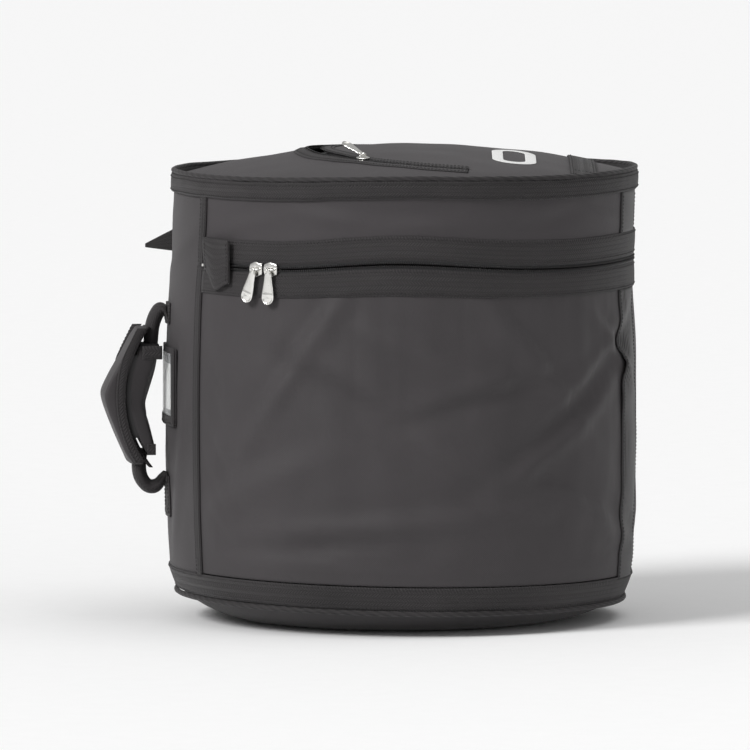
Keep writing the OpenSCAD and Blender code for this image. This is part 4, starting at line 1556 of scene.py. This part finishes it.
def zip_axes(angle):
    """Matrix from a slider's own axes to its place on the main zip."""
    lift = slump(polar(LID_R, angle, ZIP_Z)) - polar(LID_R, angle, ZIP_Z)
    outward = Matrix.Translation((0, -LID_R, ZIP_Z)) @ Matrix.Rotation(math.pi / 2, 4, "X")
    return Matrix.Translation(lift) @ Matrix.Rotation(angle, 4, "Z") @ outward


def main_sliders():
    for side, angle, lean in (
        ("left", LEFT_SLIDER, math.radians(18)), ("right", RIGHT_SLIDER, math.radians(1.5)),
    ):
        body = join_parts(f"{side}_slider_body", slider_parts(True, False), zip_axes(angle))
        finish_piece(body, f"{side}_slider", "nickel", f"{side}_slider")
        pull = join_parts(f"{side}_pull_tab", pull_parts(lean), zip_axes(angle))
        finish_piece(pull, f"{side}_pull", "nickel", f"{side}_pull")


def pocket_slider():
    """The lid pocket's small slider, its pull lifted a little off the lid."""
    turn = POCKET_SLIDER
    base = Vector((POCKET.x + POCKET_R * math.cos(turn), POCKET.y + POCKET_R * math.sin(turn)))
    origin = dome_point(base.x, base.y)
    up = (Vector((base.x, base.y, DOME_R))).normalized()
    along = Vector((-math.sin(turn), math.cos(turn), 0))
    along = (along - up * along.dot(up)).normalized()
    across = up.cross(along)
    axes = Matrix((
        (*along, 0), (*across, 0), (*up, 0), (0, 0, 0, 1),
    )).transposed()
    axes = Matrix.Translation(origin) @ axes @ Matrix.Scale(0.8, 4)
    body = join_parts("pocket_slider_body", slider_parts(False, True), axes)
    finish_piece(body, "pocket_slider", "nickel", "pocket_slider")
    lift = (Matrix.Translation((0, 0, BAR_Z)) @ Matrix.Rotation(math.radians(22), 4, "Y")
            @ Matrix.Translation((0, 0, -BAR_Z)) @ Matrix.Rotation(-math.pi / 2, 4, "Z"))
    pull = join_parts("pocket_pull_tab", pull_parts(0.0), axes @ lift)
    finish_piece(pull, "pocket_pull", "nickel", "pocket_pull")


# ---- Handle ----

BOW_R = 115 * MM
BOW_X = 151 * MM
HANDLE_Z = 215 * MM
PIVOT_R = math.hypot(*JOINTS["handle_swing"]["pos_m"][:2])
TANGENT = Vector((math.cos(SPINE), math.sin(SPINE), 0))


def handle_point(radius, z, sideways):
    """Point in the handle's upright plane, sideways of it towards the front."""
    return slump(polar(radius, SPINE, z)) + sideways * TANGENT


def bow_r(up, reach=BOW_R):
    """Radius of the handle's bow at a height above its middle."""
    return BOW_X + math.sqrt(reach ** 2 - up ** 2)


def inflate(piece, pressure, cap, fixed):
    """Swells a closed pad with cloth simulation and keeps each point within cap of where it was."""
    trial = bpy.data.objects.new("pad_trial", piece.data.copy())
    bpy.context.scene.collection.objects.link(trial)
    pins = trial.vertex_groups.new(name="pins")
    start = [v.co.copy() for v in trial.data.vertices]
    for i, co in enumerate(start):
        pins.add([i], 1.0 if fixed(co) else 0.0, "REPLACE")
    cloth = trial.modifiers.new("cloth", "CLOTH")
    settings = cloth.settings
    settings.quality = 6
    settings.mass = 0.2
    settings.tension_stiffness = settings.compression_stiffness = 15
    settings.bending_stiffness = 0.3
    settings.vertex_group_mass = "pins"
    settings.shrink_min = -0.03
    settings.use_pressure = True
    settings.uniform_pressure_force = pressure
    settings.effector_weights.gravity = 0
    cloth.point_cache.frame_start, cloth.point_cache.frame_end = 1, 20
    for frame_number in range(1, 21):
        bpy.context.scene.frame_set(frame_number)
    solved = trial.evaluated_get(bpy.context.evaluated_depsgraph_get())
    for vertex, origin, moved in zip(piece.data.vertices, start, solved.data.vertices):
        step = moved.co - origin
        if step.length > 1e-7:
            step *= cap * math.tanh(step.length / cap) / step.length
        vertex.co = origin + step
    bpy.context.scene.frame_set(1)
    bpy.data.objects.remove(trial)


def pad_rings(ups, inner, outer, half_w, pinch):
    """Rings of a pad along the bow: flat on the webbing, crowned outside, pulled in at its side seams."""
    rings = []
    for index, up in enumerate(ups):
        near, far = inner(up), outer(up)
        end = smooth_step(min(index, len(ups) - 1 - index) / 3)
        half = half_w * (0.93 + 0.07 * end)
        ring = []
        across = 16
        for k in range(across + 1):
            t = 1 - 2 * k / across
            fall = (near - far) * (0.10 + 0.25 * (1 - end)) * abs(t) ** 3
            ring.append((far + fall, t * half * (1 - 0.02 * abs(t))))
        for k in range(1, 5):
            share = k / 5
            bulge = pinch * math.sin(math.pi * share)
            ring.append((far + (near - far) * (0.1 + 0.9 * share), -half - bulge))
        for k in range(across + 1):
            t = -1 + 2 * k / across
            ring.append((near, t * half))
        for k in range(4, 0, -1):
            share = k / 5
            bulge = pinch * math.sin(math.pi * share)
            ring.append((far + (near - far) * (0.1 + 0.9 * share), half + bulge))
        rings.append([handle_point(r, HANDLE_Z + up, side) for r, side in ring])
    return rings


def outer_flap_r(up):
    """Outer outline of the grip's outside flap: two straight slopes that meet in a soft point."""
    soft = math.sqrt(up ** 2 + (5 * MM) ** 2) - 5 * MM
    slope = 0.50 if up > 0 else 0.42
    return 288.0 * MM - slope * soft


def inner_flap_r(up):
    """Inner outline of the grip's inside flap, notched at its middle."""
    middle = up + 8 * MM
    soft = math.sqrt(middle ** 2 + (4 * MM) ** 2) - 4 * MM
    slope = 0.34 if middle > 0 else 0.24
    return max(249.0 * MM - slope * soft, PIVOT_R + 2.0 * MM)


def grip():
    outer_half = 67 * MM
    half_w = 30 * MM
    ups = stations(-outer_half, outer_half, 4 * MM)
    outer = loft(
        "grip_outer_flap",
        pad_rings(ups, lambda u: bow_r(u, BOW_R + 1.8 * MM), outer_flap_r, half_w, 0.6 * MM), NYLON,
    )
    inflate(outer, 3.0, 2.0 * MM, lambda co: False)
    set_box_uv(outer)
    add_subdivision(outer)
    finish_piece(outer, "handle", "nylon", "grip_outer_pad")

    ups = stations(-58 * MM, 50 * MM, 4 * MM)
    # The inner flap takes the darker nylon as painted shade, for the shade it lies in beside the outer
    # flap.
    inner = loft(
        "grip_inner_flap",
        pad_rings(ups, lambda u: bow_r(u, BOW_R - 3.4 * MM), inner_flap_r, half_w - 1.5 * MM, 0.5 * MM),
        BASE_AND_PAINTED_SHADE_NYLON,
    )
    inflate(inner, 3.0, 1.6 * MM, lambda co: False)
    set_box_uv(inner)
    add_subdivision(inner)
    finish_piece(inner, "handle", "nylon", "grip_inner_pad")


def set_box_uv(piece):
    """Cloth coordinates in metres from each face's main direction, so the weave keeps its scale."""
    mesh = piece.data
    layer = mesh.uv_layers.get("cloth") or mesh.uv_layers.new(name="cloth")
    for polygon in mesh.polygons:
        n = polygon.normal
        axis = max(range(3), key=lambda k: abs(n[k]))
        a, b = [(1, 2), (0, 2), (0, 1)][axis]
        for index in polygon.loop_indices:
            co = mesh.vertices[mesh.loops[index].vertex_index].co
            layer.data[index].uv = (co[a], co[b])


def grip_bindings():
    """Herringbone tape on the flaps' edges, stitched down, with the fastener strips between them."""
    tapes, rows = [], []
    for side in (-1, 1):
        def outer_place(up, across, height, side=side):
            reach = BOW_R + 1.6 * MM + (across + 4.6 * MM)
            limit = outer_flap_r(up) - BOW_X - 1 * MM
            reach = min(reach, math.sqrt(limit ** 2 + up ** 2))
            reach = max(reach, abs(up) + 1 * MM)
            return handle_point(bow_r(up, reach), HANDLE_Z + up, side * (30.3 * MM + height))
        ups = stations(-64 * MM, 66 * MM, 3 * MM)
        tapes.append(strip("tape", outer_place, ups, 9.2 * MM, 2.2 * MM, WEBBING, False, 0.6 * MM, 8))
        path = [(outer_place(u, 3.3 * MM, 2.5 * MM), side * TANGENT) for u in ups]
        rows.append(stitch_row("row", path, THREAD))
    woven = merge(tapes, "handle", "grip_outer_edge_tape")
    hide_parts("grip_outer_binding")

    tapes = []
    for side in (-1, 1):
        for start, stop in ((36 * MM, 49 * MM), (-57 * MM, -46 * MM)):
            def end_place(share, across, height, side=side, start=start, stop=stop):
                near = inner_flap_r((start + stop) / 2) - 0.8 * MM
                far = bow_r((start + stop) / 2, BOW_R - 6 * MM)
                up = (start + stop) / 2 + across
                return handle_point(near + (far - near) * share, HANDLE_Z + up, side * (28.7 * MM + height))
            shares = stations(0, 1, 0.12)
            wide = stop - start
            tapes.append(strip("tape", end_place, shares, wide, 1.8 * MM, WEBBING, False, 0.4 * MM, 6))
            inward = -1 if start > 0 else 1
            sewn = stations(0.05, 0.95, 0.1)
            path = [(end_place(share, inward * 4.4 * MM, 2.1 * MM), side * TANGENT) for share in sewn]
            rows.append(stitch_row("row", path, THREAD))
    woven = merge(tapes, "handle", "grip_inner_end_tape")
    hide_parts("grip_inner_binding")
    merge(rows, "handle", "grip_stitches")

    strips = []
    for side in (-1, 1):
        def fastener(up, across, height, side=side):
            radius = bow_r(up, BOW_R - 5.8 * MM + height)
            return handle_point(radius, HANDLE_Z + up, side * (25 * MM + across))
        strips.append(strip("tape", fastener, stations(-40 * MM, 40 * MM, 4 * MM), 8 * MM, 7.0 * MM, HOOKS))
    hooks = merge(strips, "handle", "grip_hook_strips")
    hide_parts("grip_fastener")


def rolled_webbing(name, path, half_w, half_t, material):
    """Webbing folded along its length, as it turns through a loop. path holds (radius, z) points."""
    points = smooth_path([Vector((r, z, 0)) for r, z in path], 5)
    rings, along = [], [0.0]
    around = 22
    for i, point in enumerate(points):
        before, after = points[max(0, i - 1)], points[min(len(points) - 1, i + 1)]
        direction = (after - before).normalized()
        normal = Vector((-direction.y, direction.x, 0))
        share = i / (len(points) - 1)
        wide = half_w(share)
        thick = half_t(share)
        ring = []
        for k in range(around):
            turn = 2 * math.pi * k / around
            groove = 1 - 0.16 * bump(wrap(turn - math.pi / 2), 0.35)
            off = point + normal * thick * math.sin(turn) * groove
            ring.append(handle_point(off.x, off.y, wide * math.cos(turn)))
        rings.append(ring)
        if i:
            along.append(along[-1] + (point - points[i - 1]).length)
    along.append(along[-1] + 1 * MM)
    girth = 60 * MM
    across = [girth * k / around for k in range(around + 1)]
    return loft(name, rings, material, False, along, across)


def handle_webbing():
    """The carrying strap: flat between the flaps, rolled into a loop at each end."""
    flat = strip(
        "handle_core_webbing",
        lambda up, x, h: handle_point(bow_r(up, BOW_R - 1.5 * MM + h), HANDLE_Z + up, x),
        stations(-70 * MM, 66 * MM, 4 * MM), 38 * MM, 3 * MM, WEBBING, False, 0.2 * MM,
    )
    finish_piece(flat, "handle", "webbing", "handle_webbing")
    hub = Vector(JOINTS["handle_swing"]["pos_m"])
    upper = [
        (241, 264), (239.5, 280), (236.5, 290), (232.5, 296.5), (229.2, 297.5), (226.8, 293), (225.6, 287),
    ]
    lower = [
        (251, 162), (253, 148), (251.5, 135), (246, 126.5), (239.5, 124.5),
        (233.5, 128), (229.6, 135), (227.0, 138), (226.8, 131),
    ]
    for part, path in (("upper", upper), ("lower", lower)):
        loop = rolled_webbing(
            f"handle_{part}_loop", [(r * MM, z * MM) for r, z in path],
            lambda s: (13 + 6 * s ** 3) * MM,
            lambda s: (7.2 - 5.6 * smooth_step((s - 0.5) / 0.4)) * MM, WEBBING,
        )
        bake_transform(loop)


# ---- Tabs over the zip's ends ----

def front_tab():
    """Folded webbing tab sewn at the front end of the zip, hanging a little off the bag."""
    start = angle_of(JOINTS["front_tab_flap"]["pos_m"])
    origin = slump(polar(LID_R + 3.1 * MM, start, ZIP_Z))
    run = Vector((math.cos(start + 0.02), math.sin(start + 0.02), 0))
    out = Vector((math.sin(start + 0.02), -math.cos(start + 0.02), 0))
    length = 41 * MM
    top, bottom = 26 * MM, -22 * MM

    def place(s, across, height):
        share = s / length
        floor = -4 * MM + (bottom + 4 * MM) * smooth_step(share / 0.5)
        floor += 7 * MM * smooth_step((share - 0.55) / 0.45)
        up = floor + (top - floor) * (across / 48e-3 + 0.5) - 1.2 * MM * share
        curl = 0.9 * MM * math.sin(math.pi * share) + 0.7 * MM * math.sin(5 * share + 80 * across)
        return origin + run * s + out * (height + curl) + Vector((0, 0, up))

    tab = strip(
        "front_tab_webbing", place, stations(0, length, 2 * MM),
        48 * MM, 2.6 * MM, WEBBING, False, 0.3 * MM, 14,
    )
    finish_piece(tab, "front_tab", "webbing", "front_tab")
    across = stations(-21 * MM, 21 * MM, 3 * MM)
    rows = [
        stitch_row("row", [(place(s, x, 2.9 * MM), out) for x in across], THREAD)
        for s in (3 * MM, length - 3 * MM)
    ]
    merge(rows, "front_tab", "front_tab_stitches")


def rear_tab():
    """Webbing tab at the rear end of the zip, folded to a point away from the bag."""
    out = Vector((math.sin(HINGE_REAR), -math.cos(HINGE_REAR), 0))
    along = Vector((math.cos(HINGE_REAR), math.sin(HINGE_REAR), 0))
    inner = low_high_reach("rear_tab", out)
    root = polar(inner[0], HINGE_REAR, ZIP_Z)
    length = inner[1] - inner[0]

    def place(s, across, height):
        share = s / length
        low_z = 0.5 * MM + 3.5 * MM * share
        high_z = 26 * MM + (8 * MM - 26 * MM) * share
        up = low_z + (high_z - low_z) * (across / 24e-3 + 0.5)
        sway = height - 1.3 * MM + 1.2 * MM * math.sin(3 * share)
        return root + out * s + along * sway + Vector((0, 0, up))

    tab = strip(
        "rear_tab_webbing", place, stations(0, length, 2 * MM),
        24 * MM, 2.6 * MM, WEBBING, False, 0.3 * MM, 8,
    )
    finish_piece(tab, "rear_tab", "webbing", "rear_tab")


def low_high_reach(node, direction):
    """Nearest and furthest reach of a CAD node in a level direction."""
    reaches = [v.co.dot(direction) for v in frame["nodes"][node].data.vertices]
    return min(reaches), max(reaches)


# ---- Small CAD parts that keep their shape ----

def finish_kept_nodes():
    for node, material in (("id_card", CARD), ("zip_end_stops", NICKEL)):
        keep = frame["nodes"][node]
        keep.data.materials.clear()
        keep.data.materials.append(material)


# ---- Studio ----

def make_floor():
    shader = Shader("studio_paper")
    grain = shader.noise(shader.place(), 40.0, 3.0)
    tint = shader.ramp(grain, [(0.3, (0.955, 0.955, 0.955)), (0.7, (0.97, 0.97, 0.97))])
    shader.join(tint, shader.bsdf.inputs["Base Color"])
    shader.constant("Roughness", 0.9)
    size = 30.0
    verts = [(-size, -size, 0), (size, -size, 0), (size, size, 0), (-size, size, 0)]
    paper = make_piece("studio_floor", verts, [(0, 1, 2, 3)], shader.material, None, False)
    paper.location.z = -0.5 * MM


def add_area(name, position, target, size, power):
    light = bpy.data.lights.new(name, "AREA")
    light.shape = "RECTANGLE"
    light.size, light.size_y = size
    light.energy = power
    lamp = bpy.data.objects.new(name, light)
    bpy.context.scene.collection.objects.link(lamp)
    lamp.location = position
    lamp.rotation_euler = (Vector(target) - Vector(position)).to_track_quat("-Z", "Y").to_euler()


def add_sun(name, source, power, spread):
    """Distant soft light that comes from a direction. It lights the whole floor evenly."""
    light = bpy.data.lights.new(name, "SUN")
    light.energy = power
    light.angle = math.radians(spread)
    lamp = bpy.data.objects.new(name, light)
    bpy.context.scene.collection.objects.link(lamp)
    lamp.rotation_euler = (-Vector(source)).to_track_quat("-Z", "Y").to_euler()


def make_studio():
    make_floor()
    middle = (-0.02, 0.0, 0.25)
    add_sun("key", (-0.80, -0.62, 0.72), 2.3, 22)
    add_sun("top", (0.35, -0.05, 1.0), 0.5, 40)
    add_area("fill", (2.0, -3.0, 1.0), middle, (1.6, 1.6), 10)
    world = bpy.data.worlds.new("studio")
    world.use_nodes = True
    world.node_tree.nodes["Background"].inputs["Color"].default_value = (1.0, 1.0, 1.0, 1.0)
    world.node_tree.nodes["Background"].inputs["Strength"].default_value = 0.42
    bpy.context.scene.world = world
    bpy.context.scene.view_settings.view_transform = "Standard"


def make_camera():
    """Long lens, a little above the bag, looking at its front."""
    camera = bpy.data.cameras.new("camera")
    camera.lens = 425
    camera.sensor_width = 36
    camera.clip_end = 100
    eye = bpy.data.objects.new("camera", camera)
    bpy.context.scene.collection.objects.link(eye)
    target = Vector((-24.5 * MM, 0, 0.232))
    eye.location = Vector((-24.5 * MM, -8.5, 0.873))
    eye.rotation_euler = (target - eye.location).to_track_quat("-Z", "Y").to_euler()
    bpy.context.scene.camera = eye


for build in (
    make_camera, make_studio, wall_panel, wall_padding, base_panels, bottom_rim, seam_bindings, zip_tapes,
    zip_teeth, side_strap, handle_patches, id_pocket, hinge_panel, lid_band, lid_padding, lid_panel,
    pocket_lining, pocket_zip, top_rim, lid_strap, lid_print, main_sliders, pocket_slider, grip,
    grip_bindings, handle_webbing, front_tab, rear_tab, finish_kept_nodes,
):
    build()
